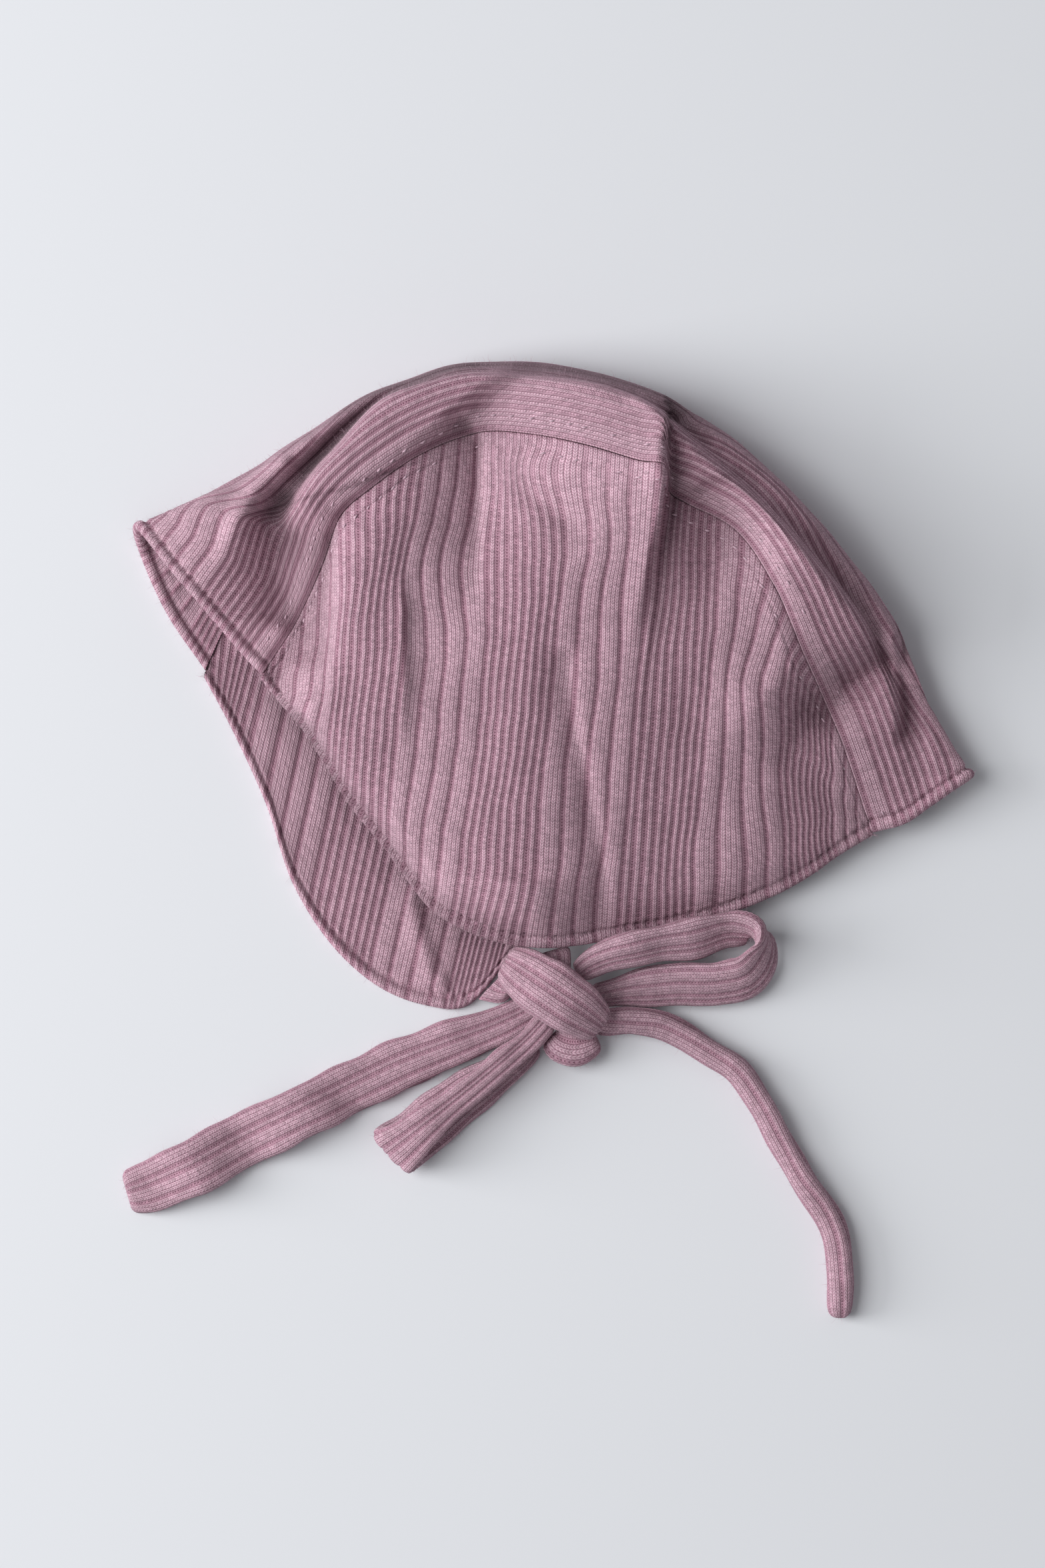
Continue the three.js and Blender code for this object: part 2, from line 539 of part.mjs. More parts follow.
// Crown band with ribs along its length.
function crownBand() {
  const shares = bandShares();
  const places = ribPlaces(BAND_RIBS, RIB_SAMPLES);
  const grid = shares.map((share) => {
    const cut = bandCut(share);
    const length = cut.getLength();
    const gap = SEAM_GAP / 2 / length;
    return places.map((place) => {
      const along = cut.getUtoTmapping(gap + place * (1 - 2 * gap));
      const point = cut.getPoint(along);
      const onTop = 1 - smooth((along * 7 - 3.3) / 0.6);
      point.z = Math.max(0, point.z + foldHeight(point.x, point.y) * onTop);
      return point;
    });
  });
  const normals = gridNormals(grid);
  const walls = grid.map((line, i) => line.map((point, j) => {
    const length = bandCut(shares[i]).getLength();
    const towards = normals[i][j].clone();
    const seam = seamNormal(shares[i]);
    towards.lerp(seam, 1 - smooth(places[j] * length / 6)).normalize();
    const fromEdge = Math.min(i, shares.length - 1 - i) * HEM_WIDTH / 2;
    const swell = hemSwell(fromEdge) * smooth(point.z / 4);
    const calm = smooth(point.z / 3) * smooth(places[j] * length / 4) * smooth(fromEdge / 6);
    const relief = ribGroove(places[j] * BAND_RIBS) * calm + swell * 0.5;
    const out = point.clone().addScaledVector(towards, relief);
    return { out, inside: point.clone().addScaledVector(towards, -WALL - swell * 0.5) };
  }));
  return wallGeometry(walls.map((l) => l.map((p) => p.out)), walls.map((l) => l.map((p) => p.inside)));
}

// Lower side panel: flat below, ribbed above, thicker at its turned hem.
function farPanel() {
  const pointAt = (share, down) => farSeam.getPoint(share).lerp(farHem.getPoint(share), down);
  const lines = ribShares((share) => pointAt(share, 0.5), HIDDEN_RIB_SAMPLES);
  const lengthAt = (share) => farSeam.getPoint(share).distanceTo(farHem.getPoint(share));
  const under = [];
  const over = [];
  lines.forEach(({ share, ribs }) => {
    const length = lengthAt(share);
    const start = SEAM_GAP / 2 / length;
    const places = downPlaces(length, FAR_STEPS).map((down) => start + down * (1 - start));
    under.push(places.map((down) => pointAt(share, down)));
    over.push(places.map((down) => {
      const point = pointAt(share, down);
      const swell = hemSwell((1 - down) * length) * 0.8;
      const calm = smooth((1 - down) * length / 6) * smooth(down * length / 5);
      point.z = WALL + swell + ribGroove(ribs) * calm;
      return point;
    }));
  });
  return wallGeometry(under, over);
}

// Outline of a flat tie: half a width to each side, half a thickness up and down, soft corners.
function tieOutline(width, thick) {
  const points = [];
  for (let i = 0; i < TIE_SIDES; i += 1) {
    const turn = (i / TIE_SIDES) * 2 * Math.PI;
    const c = Math.cos(turn);
    const s = Math.sin(turn);
    const flat = Math.sign(c) * Math.abs(c) ** 0.62;
    const round = Math.sign(s) * Math.abs(s) ** 0.72;
    points.push([flat * width / 2, round * thick / 2]);
  }
  return points;
}

// Tie along its stations, with both ends closed.
function strapGeometry(rows, across) {
  const path = column(rows, 'at');
  const sizes = track(rows.map((row) => [row.width, row.thick, row.tilt ?? 0]));
  const steps = Math.max(6, Math.round(path.getLength() / TIE_STEP));
  const positions = [];
  for (let i = 0; i <= steps; i += 1) {
    const share = path.getUtoTmapping(i / steps);
    const run = path.getTangent(share);
    const [width, thick, tilt] = sizes.getPoint(share).toArray();
    const level = across ? vector(across) : new THREE.Vector3(-run.y, run.x, 0).normalize();
    const side = level.multiplyScalar(Math.cos(THREE.MathUtils.degToRad(tilt)));
    side.z += Math.sin(THREE.MathUtils.degToRad(tilt));
    side.addScaledVector(run, -side.dot(run)).normalize();
    const up = run.clone().cross(side);
    const centre = path.getPoint(share);
    tieOutline(width, thick).forEach(([flat, round]) => {
      const point = centre.clone().addScaledVector(side, flat).addScaledVector(up, round);
      positions.push(point.x, point.y, point.z);
    });
  }
  const faces = [];
  for (let i = 0; i < steps; i += 1) {
    for (let j = 0; j < TIE_SIDES; j += 1) {
      const next = (j + 1) % TIE_SIDES;
      const a = i * TIE_SIDES;
      const b = a + TIE_SIDES;
      faces.push(a + j, b + j, b + next, a + j, b + next, a + next);
    }
  }
  [0, steps].forEach((ring, end) => {
    for (let j = 1; j + 1 < TIE_SIDES; j += 1) {
      const first = ring * TIE_SIDES;
      const fan = [first, first + j, first + j + 1];
      faces.push(...(end ? fan.reverse() : fan));
    }
  });
  return outwardGeometry(positions, faces);
}

const bonnet = new THREE.Group();
const lying = new THREE.Group();
lying.position.set(-BASE_CENTRE[0], -BASE_CENTRE[1], 0);
bonnet.add(lying);

function addPiece(name, geometry) {
  const finish = { color: MAUVE, roughness: KNIT_ROUGHNESS, metalness: 0 };
  const material = new THREE.MeshStandardMaterial(finish);
  const mesh = new THREE.Mesh(geometry, material);
  mesh.name = name;
  lying.add(mesh);
}

addPiece('side_panel_near', nearPanel());
addPiece('side_panel_far', farPanel());
addPiece('crown_band', crownBand());

// The left loop turns over at its end, so its flat side keeps one direction all the way round.
const LEFT_LOOP_ACROSS = [0.66, -0.75, 0];
Object.entries(STRAPS).forEach(([name, rows]) => {
  addPiece(name, strapGeometry(rows, name === 'bow_loop_left' ? LEFT_LOOP_ACROSS : null));
});

export default bonnet;
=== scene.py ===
# %% [markdown]
# # A rib-knit baby bonnet, lying on its side
# The bonnet is sewn from three pieces of mauve rib knit: two side panels with ear flaps, and a band
# that runs from the forehead over the crown to the nape. Two knitted ties hold it shut in a bow.
# The lesson starts from the fixed solids of the part, and makes a softer, finer piece in the place
# of each one. All lengths in the tables are millimetres; Blender itself works in metres.

# %% Load the solids
import json
import math

import bpy
import numpy as np
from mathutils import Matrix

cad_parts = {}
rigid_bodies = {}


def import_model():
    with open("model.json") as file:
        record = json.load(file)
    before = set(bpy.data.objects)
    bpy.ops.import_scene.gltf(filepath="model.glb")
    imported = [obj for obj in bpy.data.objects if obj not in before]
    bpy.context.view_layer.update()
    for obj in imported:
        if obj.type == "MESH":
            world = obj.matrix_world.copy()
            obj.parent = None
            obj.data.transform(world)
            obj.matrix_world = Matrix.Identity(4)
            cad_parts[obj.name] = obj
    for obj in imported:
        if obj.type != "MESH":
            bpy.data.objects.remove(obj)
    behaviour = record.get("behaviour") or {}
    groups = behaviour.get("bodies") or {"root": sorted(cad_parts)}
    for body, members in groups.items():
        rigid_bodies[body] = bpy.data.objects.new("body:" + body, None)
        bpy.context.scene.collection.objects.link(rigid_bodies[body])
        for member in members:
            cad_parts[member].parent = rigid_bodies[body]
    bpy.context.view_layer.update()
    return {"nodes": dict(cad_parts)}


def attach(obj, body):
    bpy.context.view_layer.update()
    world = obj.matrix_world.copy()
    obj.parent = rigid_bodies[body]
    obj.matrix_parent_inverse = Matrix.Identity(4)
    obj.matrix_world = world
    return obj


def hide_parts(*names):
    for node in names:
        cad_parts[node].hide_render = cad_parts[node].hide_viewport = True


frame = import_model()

MM = 0.001
bpy.ops.object.select_all(action="DESELECT")
print("solids to dress:", sorted(frame["nodes"]))

# %% [markdown]
# ## The camera
# The picture was taken from straight above. A long lens from two metres up keeps the outline the
# same at every height of the cloth, so a place in the picture can be read as a place on the surface.

# %% Camera over the bonnet
PHOTO_PX = (1568, 2352)
MM_PER_PX = 200 / 1310
ORIGIN_PX = (830.0, 1150.5)
CAMERA_HEIGHT = 2.0
CLOTH_HEIGHT = 0.012


def place_of_pixel(px, py):
    """Place on the surface, in millimetres, of a pixel of the picture."""
    return (px - ORIGIN_PX[0]) * MM_PER_PX, (ORIGIN_PX[1] - py) * MM_PER_PX


middle = place_of_pixel(PHOTO_PX[0] / 2, PHOTO_PX[1] / 2)
bpy.ops.object.camera_add(location=(middle[0] * MM, middle[1] * MM, CAMERA_HEIGHT))
camera = bpy.context.object
camera.name = "overhead_camera"
camera.data.sensor_width = 36
camera.data.lens = 36 * (CAMERA_HEIGHT - CLOTH_HEIGHT) / (PHOTO_PX[1] * MM_PER_PX * MM)
camera.data.clip_end = 20
bpy.context.scene.camera = camera
print("lens of", round(camera.data.lens, 1), "mm over", middle)

# %% [markdown]
# ## Floor and light
# The surface is a plain pale grey. Daylight falls in from a tall window on the left. One lamp stands
# for its upper part, and another, farther off and lower, for its lower part. An even fill comes from
# all round, so shadows are soft and fall to the right.

# %% Floor, window lamps and fill
FLOOR_GREY = (0.775, 0.79, 0.825, 1)
FLOOR_SIZE = 8
FLOOR_DROP = 0.00005
FILL = 0.265
FILL_TINT = (0.97, 0.98, 1, 1)
#    name, place, size, watts
LAMPS = [
    ("window_upper", (-1.05, 0.08, 1.40), 1.1, 18.6),
    ("window_lower", (-1.75, 0.1, 0.62), 0.9, 26.4),
]


def plain_material(name, roughness, colour=None):
    """A new material and its shader, with its roughness and perhaps a colour set."""
    material = bpy.data.materials.new(name)
    material.use_nodes = True
    finish = material.node_tree.nodes["Principled BSDF"]
    finish.inputs["Roughness"].default_value = roughness
    if colour:
        finish.inputs["Base Color"].default_value = colour
    return material, finish


bpy.ops.mesh.primitive_plane_add(size=FLOOR_SIZE, location=(0, 0, -FLOOR_DROP))
floor = bpy.context.object
floor.name = "floor"
bpy.ops.object.transform_apply(location=True, rotation=False, scale=False)
floor_paint, floor_finish = plain_material("pale_floor", 0.7, FLOOR_GREY)
floor_finish.inputs["Specular IOR Level"].default_value = 0.15
floor.data.materials.append(floor_paint)

for lamp_name, lamp_place, lamp_size, lamp_watts in LAMPS:
    bpy.ops.object.light_add(type="AREA", location=lamp_place)
    lamp = bpy.context.object
    lamp.name = lamp_name
    lamp.data.shape = "SQUARE"
    lamp.data.size = lamp_size
    lamp.data.energy = lamp_watts
    lamp.rotation_euler = (-lamp.location).to_track_quat("-Z", "Y").to_euler()

world = bpy.data.worlds.new("fill_light")
world.use_nodes = True
world.node_tree.nodes["Background"].inputs["Color"].default_value = FILL_TINT
world.node_tree.nodes["Background"].inputs["Strength"].default_value = FILL
bpy.context.scene.world = world
bpy.context.scene.view_settings.view_transform = "Standard"
print(len(LAMPS), "lamps and a fill of", FILL)

# %% [markdown]
# ## The knit
# Rib knit is rows of yarn loops. A column of loops is called a wale and a row a course. Wales that
# show their face stand up as ribs of small V shapes, and wales that show their back sink between
# them as furrows of small bars. The ribs are modelled in the meshes. The loops are far smaller, so
# one shader node group draws them as height and shade, from a UV map that counts wales and courses.

# %% Node helpers
WALE = 1.0
COURSE = 0.68
UV_SPAN = 400


def feed(tree, socket, value):
    """Links a socket to an input, or sets the input to a plain value."""
    if isinstance(value, bpy.types.NodeSocket):
        tree.links.new(value, socket)
    else:
        socket.default_value = value


def reckon(tree, operation, *values):
    """A Math node on these values; gives its output."""
    made = tree.nodes.new("ShaderNodeMath")
    made.operation = operation
    for socket, value in zip(made.inputs, values):
        feed(tree, socket, value)
    return made.outputs[0]


def blend_colours(tree, share, first, second, mode="MIX"):
    """A Mix node of two colours; gives its output."""
    made = tree.nodes.new("ShaderNodeMix")
    made.data_type = "RGBA"
    made.blend_type = mode
    feed(tree, made.inputs["Factor"], share)
    feed(tree, made.inputs[6], first)
    feed(tree, made.inputs[7], second)
    return made.outputs[2]


def hump(tree, value):
    """1 in the middle of 0 to 1 and 0 at both ends."""
    centred = reckon(tree, "MULTIPLY_ADD", value, 2.0, -1.0)
    return reckon(tree, "SUBTRACT", 1.0, reckon(tree, "MULTIPLY", centred, centred))


print("a wale is", WALE, "mm wide and a course", COURSE, "mm high")

# %% [markdown]
# A loop that shows its face is two slanted legs, so the wale is folded at its middle and the course
# is shifted with the distance from there. A loop that shows its back is a short arched bar.

# %% Node group for the loops
LEG_PLACE = 0.21
LEG_SLANT = 0.7
LEG_FOOT = 0.28
BEAD_FOOT = 0.5
BAR_ARCH = 0.2
BAR_HEIGHT = 0.8

loops = bpy.data.node_groups.new("knit_loops", "ShaderNodeTree")
for socket_name in ("Wale", "Course", "Back"):
    loops.interface.new_socket(socket_name, in_out="INPUT", socket_type="NodeSocketFloat")
loops.interface.new_socket("Height", in_out="OUTPUT", socket_type="NodeSocketFloat")
loop_in = loops.nodes.new("NodeGroupInput").outputs
loop_out = loops.nodes.new("NodeGroupOutput").inputs

folded = reckon(loops, "FRACT", reckon(loops, "ADD", loop_in["Wale"], 0.5))
from_middle = reckon(loops, "ABSOLUTE", reckon(loops, "SUBTRACT", folded, 0.5))
off_leg = reckon(loops, "DIVIDE", reckon(loops, "SUBTRACT", from_middle, LEG_PLACE), 0.5 - LEG_PLACE)
leg = reckon(loops, "SUBTRACT", 1.0, reckon(loops, "MULTIPLY", off_leg, off_leg))
leg = reckon(loops, "MULTIPLY_ADD", reckon(loops, "MAXIMUM", leg, 0.0), 1 - LEG_FOOT, LEG_FOOT)
slanted = reckon(loops, "MULTIPLY_ADD", from_middle, -LEG_SLANT * 2, loop_in["Course"])
bead = hump(loops, reckon(loops, "FRACT", slanted))
face = reckon(loops, "MULTIPLY", leg, reckon(loops, "MULTIPLY_ADD", bead, 1 - BEAD_FOOT, BEAD_FOOT))
bow = reckon(loops, "COSINE", reckon(loops, "MULTIPLY", loop_in["Wale"], 2 * math.pi))
arched = reckon(loops, "ADD", loop_in["Course"], reckon(loops, "MULTIPLY", bow, BAR_ARCH))
back = reckon(loops, "MULTIPLY", hump(loops, reckon(loops, "FRACT", arched)), BAR_HEIGHT)
change = reckon(loops, "SUBTRACT", back, face)
feed(loops, loop_out["Height"], reckon(loops, "MULTIPLY_ADD", change, loop_in["Back"], face))
print("loop group of", len(loops.nodes), "nodes")

# %% [markdown]
# The yarn is a dusty mauve cotton, a little uneven in its dye. Shade is painted into its colour:
# deeper and redder low between the loops, in the furrows and in the hollows of the folds, paler on
# the loops' lit tops. No two stitches have quite the same tone, and loops wander a little from their wale and
# course.

# %% Colour and wear of the yarn
# colours of the loops, from shade painted low between them to their lit tops
YARN_GAP_PAINTED_SHADE = (0.12, 0.046, 0.07, 1)
YARN_SIDE_PAINTED_SHADE = (0.385, 0.215, 0.277, 1)
YARN_LIT_TOP = (0.64, 0.44, 0.515, 1)
SIDE_AT = 0.42
FUZZ_BLUR = 0.4
# how much shade the hollow mark paints, and how light its painted light may make the yarn at most
HOLLOW_SHADE = 0.5
LIGHTEST_PAINTED = 1.34
STITCH_TONE, HAIR_TONE, DYE_TONE = 0.3, 0.5, 0.34
WALE_WANDER, COURSE_WANDER, WANDER_SCALE = 0.3, 1.2, 260


def noise(tree, place, scale, detail, rough):
    """A Noise Texture node; gives its grey output."""
    made = tree.nodes.new("ShaderNodeTexNoise")
    for socket_name, value in (("Scale", scale), ("Detail", detail), ("Roughness", rough), ("Vector", place)):
        feed(tree, made.inputs[socket_name], value)
    return made.outputs["Fac"]


def attribute(tree, name):
    """A number that the vertices of a piece carry."""
    made = tree.nodes.new("ShaderNodeAttribute")
    made.attribute_name = name
    return made.outputs["Fac"]


def about(tree, value, spread, middle):
    """A value from 0 to 1, made to vary by a spread about a middle."""
    return reckon(tree, "MULTIPLY_ADD", value, spread, middle - spread / 2)


def knit_place(tree, place):
    """Wale and course of each spot of the cloth."""
    cloth = tree.nodes.new("ShaderNodeUVMap")
    cloth.uv_map = "knit"
    axes = tree.nodes.new("ShaderNodeSeparateXYZ")
    tree.links.new(cloth.outputs[0], axes.inputs[0])
    uneven = noise(tree, place, WANDER_SCALE, 2, 0.6)
    aside, ahead = about(tree, uneven, WALE_WANDER, 0), reckon(tree, "MULTIPLY", uneven, COURSE_WANDER)
    wale = reckon(tree, "MULTIPLY_ADD", axes.outputs["X"], UV_SPAN, aside)
    return wale, reckon(tree, "MULTIPLY_ADD", axes.outputs["Y"], UV_SPAN, ahead)


def yarn_colour(tree, height, hairs, painted_furrow_shade):
    """Colour of the yarn by the height of its loops, with shade painted low between them and in the furrows."""
    tone = tree.nodes.new("ShaderNodeValToRGB")
    tone.color_ramp.elements[0].color = YARN_GAP_PAINTED_SHADE
    tone.color_ramp.elements[1].color = YARN_LIT_TOP
    tone.color_ramp.elements.new(SIDE_AT).color = YARN_SIDE_PAINTED_SHADE
    feed(tree, tone.inputs["Fac"], reckon(tree, "ADD", height, about(tree, hairs, FUZZ_BLUR, 0)))
    return blend_colours(tree, attribute(tree, "furrow"), tone.outputs["Color"], painted_furrow_shade, "MULTIPLY")


def yarn_tone_and_painted_shade(tree, wale, course, hairs, dye):
    """How much lighter or deeper a spot is: by its stitch, hairs and patch of dye, and by the shade painted by
    hollow.
    """
    spot = tree.nodes.new("ShaderNodeCombineXYZ")
    feed(tree, spot.inputs["X"], reckon(tree, "ROUND", wale))
    feed(tree, spot.inputs["Y"], reckon(tree, "FLOOR", course))
    each = tree.nodes.new("ShaderNodeTexWhiteNoise")
    each.noise_dimensions = "2D"
    tree.links.new(spot.outputs[0], each.inputs["Vector"])
    # the hollow mark paints shade into the colour, and painted light where it is below 0
    painted_shade_factor = reckon(tree, "MULTIPLY_ADD", attribute(tree, "hollow"), -HOLLOW_SHADE, 1.0)
    tone_and_shade = reckon(tree, "MINIMUM", painted_shade_factor, LIGHTEST_PAINTED)
    for value, spread in ((each.outputs["Value"], STITCH_TONE), (hairs, HAIR_TONE), (dye, DYE_TONE)):
        tone_and_shade = reckon(tree, "MULTIPLY", tone_and_shade, about(tree, value, spread, 1))
    return tone_and_shade


# %% [markdown]
# Panels and ties are the same knit. The ties are sewn flat, so their furrows are shallower and less
# shade is painted into them, and their dye is uneven in smaller patches. Fine hairs catch light at
# the edges, which is what the sheen of the shader is for. Hairs and loops are also two bumps, one on top of the
# other.

# %% Knit material
LOOP_HEIGHT = 0.00018
HAIR_HEIGHT = 0.0001
HAIR_SCALE = 4200


def knit_material(name, dye_scale, painted_furrow_shade):
    """Rib knit that reads the UV map knit and the attributes back, furrow and hollow; the last two set painted
    shade.
    """
    material, finish = plain_material(name, 0.92)
    finish.inputs["Specular IOR Level"].default_value = 0.18
    finish.inputs["Sheen Weight"].default_value = 0.14
    finish.inputs["Sheen Roughness"].default_value = 0.45
    finish.inputs["Sheen Tint"].default_value = (1, 0.8, 0.87, 1)

    tree = material.node_tree
    place = tree.nodes.new("ShaderNodeTexCoord").outputs["Object"]
    wale, course = knit_place(tree, place)
    stitch = tree.nodes.new("ShaderNodeGroup")
    stitch.node_tree = loops
    for socket_name, value in (("Wale", wale), ("Course", course), ("Back", attribute(tree, "back"))):
        feed(tree, stitch.inputs[socket_name], value)
    height = stitch.outputs["Height"]
    hairs = noise(tree, place, HAIR_SCALE, 3, 0.75)
    dye = noise(tree, place, dye_scale, 3, 0.6)

    # base colour: the yarn's own tone times the shade and light painted onto it
    shaded_colour = tree.nodes.new("ShaderNodeVectorMath")
    shaded_colour.operation = "SCALE"
    feed(tree, shaded_colour.inputs[0], yarn_colour(tree, height, hairs, painted_furrow_shade))
    feed(tree, shaded_colour.inputs["Scale"], yarn_tone_and_painted_shade(tree, wale, course, hairs, dye))
    tree.links.new(shaded_colour.outputs[0], finish.inputs["Base Color"])

    socket = finish.inputs["Normal"]
    for source, bump_height in ((height, LOOP_HEIGHT), (hairs, HAIR_HEIGHT)):
        bump = tree.nodes.new("ShaderNodeBump")
        bump.inputs["Distance"].default_value = bump_height
        feed(tree, bump.inputs["Height"], source)
        tree.links.new(bump.outputs[0], socket)
        socket = bump.inputs["Normal"]
    return material


# the last colour is the shade painted into the furrows
panel_knit = knit_material("rib_knit", 45, (0.66, 0.53, 0.59, 1))
tie_knit = knit_material("rib_knit_tie", 70, (0.8, 0.69, 0.74, 1))
print("materials:", panel_knit.name, tie_knit.name)

# %% [markdown]
# ## Lines and cloth
# Every piece starts as a flat grid, as it would be cut from knit fabric: columns across the ribs and
# rows along them. A smooth line through each column of a table says where the cloth goes.

# %% Smooth lines through a table
TABLE_SHIFT = np.array([0.31, -0.38, 0.0])


def smooth(x):
    x = np.clip(x, 0, 1)
    return x * x * (3 - 2 * x)


def rise(x, start, over):
    """0 up to a start, then smoothly up to 1 over a width."""
    return smooth((x - start) / over)


def within(share, sharp):
    """0 at both ends of 0 to 1, and 1 between them."""
    return smooth(share * sharp) * smooth((1 - share) * sharp)


def bell(x, height, middle, reach):
    """A height at the middle that falls off softly to both sides."""
    return height * np.exp(-(((x - middle) / reach) ** 2))


def through(points, shares):
    """Points at shares, from 0 to 1 and counted by rows, of a smooth line through the rows."""
    p = np.asarray(points, float)
    p = np.concatenate([[2 * p[0] - p[1]], p, [2 * p[-1] - p[-2]]])
    at = np.clip(np.asarray(shares, float), 0, 1) * (len(p) - 3)
    i = np.minimum(at.astype(int), len(p) - 4)
    t = (at - i).reshape((-1,) + (1,) * (p.ndim - 1))
    a, b, c, d = p[i], p[i + 1], p[i + 2], p[i + 3]
    ab, bc, cd = (np.maximum(np.linalg.norm(v, axis=-1, keepdims=True), 1e-8) ** 0.5 for v in (b - a, c - b, d - c))
    start = ((b - a) / ab - (c - a) / (ab + bc) + (c - b) / bc) * bc
    end = ((c - b) / bc - (d - b) / (bc + cd) + (d - c) / cd) * bc
    return b + start * t + (3 * (c - b) - 2 * start - end) * t**2 + (2 * (b - c) + start + end) * t**3


def run_along(points, axis=0):
    """Length run from the first point to each point."""
    steps = np.linalg.norm(np.diff(points, axis=axis), axis=-1)
    return np.insert(np.cumsum(steps, axis=axis), 0, 0, axis=axis)


def unit(vectors):
    return vectors / np.maximum(np.linalg.norm(vectors, axis=-1, keepdims=True), 1e-9)


def ripple(x, y, seed, wave, turns=5):
    """Gentle unevenness between about -1 and 1, with waves of about that length."""
    chance = np.random.RandomState(seed)
    total = np.zeros(np.broadcast(x, y).shape)
    for _ in range(turns):
        angle, phase = chance.uniform(0, 2 * math.pi, 2)
        size = 2 * math.pi / (wave * chance.uniform(0.7, 1.5))
        total += np.sin((x * math.cos(angle) + y * math.sin(angle)) * size + phase)
    return total / turns**0.5 / 1.2


# %% [markdown]
# A rib pattern is four wide ribs, each four wales of faces and one of backs, and then eight narrow
# ribs of one and one. Columns of the mesh stand where the rib changes: closer at a furrow, wider on
# top. That gives crisp ribs from few faces.

# %% Rib pattern
WIDE_RIB = 5
NARROW_RIB = 2
REPEAT = [WIDE_RIB] * 4 + [NARROW_RIB] * 8
TIE_REPEAT = [4, 4, 2]
FURROW_SAMPLES = {2: (0, 0.5, 1, 1.5), 4: (0, 0.45, 1, 2, 3, 3.55), 5: (0, 0.45, 1, 2, 3, 4, 4.55)}
FURROW_REACH = 0.8
RIB_DEPTH = 0.4
RIB_BULGE = 0.08


def rib_columns(first, last, repeat):
    """Wales between first and last at which a mesh has a column."""
    period = sum(repeat)
    wale = math.floor(first / period) * period
    columns = [first]
    while wale < last:
        for rib in repeat:
            columns += [wale + sample for sample in FURROW_SAMPLES[rib]]
            wale += rib
    inside = sorted(c for c in columns if first + 0.2 < c < last - 0.2)
    return np.array([first, *inside, last])


def furrow_share(wale, repeat):
    """1 at the bottom of a furrow and 0 on top of a rib."""
    period = sum(repeat)
    furrows = np.cumsum([0, *repeat[:-1]])
    apart = np.abs((np.asarray(wale)[..., None] - furrows + period / 2) % period - period / 2)
    return 1 - smooth(apart.min(axis=-1) / FURROW_REACH)


def rib_crown(wale, repeat):
    """1 in the middle of a wide rib and 0 at its sides."""
    period = sum(repeat)
    furrows = np.cumsum([0, *repeat])
    at = np.asarray(wale) % period
    i = np.clip(np.searchsorted(furrows, at, side="right") - 1, 0, len(repeat) - 1)
    width = np.array(repeat)[i]
    share = (at - furrows[i]) / width
    return np.where(width > 2, 4 * share * (1 - share), 0)


def rib_relief(furrow, wale):
    """Height of the ribs of a panel."""
    return -RIB_DEPTH * furrow + RIB_BULGE * rib_crown(wale, REPEAT)


print("rib repeat:", sum(REPEAT), "wales,", round(sum(REPEAT) * WALE, 1), "mm")

# %% [markdown]
# A cloth is a flat grid of rows and columns, moved onto its place. Each vertex keeps its spot in the
# grid for later steps. The material reads three numbers from it: how deep it lies in a furrow,
# whether its loop shows its back, and how much shade is painted into it in a fold, or light on the crown.

# %% Cloth from a grid
def cut_cloth(name, points, wales, courses):
    """A grid of the size of points (rows, columns, 3), laid on them, with its knit UV map."""
    rows, columns = points.shape[:2]
    bpy.ops.object.select_all(action="DESELECT")
    bpy.ops.mesh.primitive_grid_add(x_subdivisions=columns - 1, y_subdivisions=rows - 1, size=2)
    cloth = bpy.context.object
    cloth.name = cloth.data.name = name
    flat = np.empty(len(cloth.data.vertices) * 3)
    cloth.data.vertices.foreach_get("co", flat)
    flat = flat.reshape(-1, 3)
    column = np.rint((flat[:, 0] + 1) / 2 * (columns - 1)).astype(int)
    row = np.rint((flat[:, 1] + 1) / 2 * (rows - 1)).astype(int)
    spots = row * columns + column
    cloth.data.vertices.foreach_set("co", (points.reshape(-1, 3)[spots] * MM).ravel())
    spot = cloth.data.attributes.new("spot", "INT", "POINT")
    spot.data.foreach_set("value", spots.astype(np.int32))

    corner = np.empty(len(cloth.data.loops), np.int32)
    cloth.data.loops.foreach_get("vertex_index", corner)
    knit = np.stack([np.broadcast_to(wales, (rows, columns)), np.broadcast_to(courses, (rows, columns))], axis=-1)
    knit = knit.reshape(-1, 2)[spots][corner] / UV_SPAN + 0.5
    cloth.data.uv_layers[0].name = "knit"
    cloth.data.uv_layers["knit"].uv.foreach_set("vector", knit.astype(np.float32).ravel())
    return cloth


def read_spots(cloth):
    spots = np.empty(len(cloth.data.vertices), np.int32)
    cloth.data.attributes["spot"].data.foreach_get("value", spots)
    return spots


def mark(cloth, name, values):
    """A number for each vertex that the material reads."""
    made = cloth.data.attributes.new(name, "FLOAT", "POINT")
    made.data.foreach_set("value", np.asarray(values, np.float32))


def mark_ribs(cloth, furrow):
    """Furrows, and the loops at the bottom of them that show their back."""
    mark(cloth, "furrow", furrow)
    mark(cloth, "back", rise(furrow, 0.35, 0.3))


def finish_piece(piece, node, material):
    """Smooth shading, the finish, and the solid that the piece stands for."""
    bpy.ops.object.select_all(action="DESELECT")
    piece.select_set(True)
    bpy.context.view_layer.objects.active = piece
    bpy.ops.object.shade_smooth()
    piece.data.materials.clear()
    piece.data.materials.append(material)
    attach(piece, "root")
    if node:
        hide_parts(node)
    piece.data.calc_loop_triangles()
    print(piece.name, "has", len(piece.data.loop_triangles), "triangles")


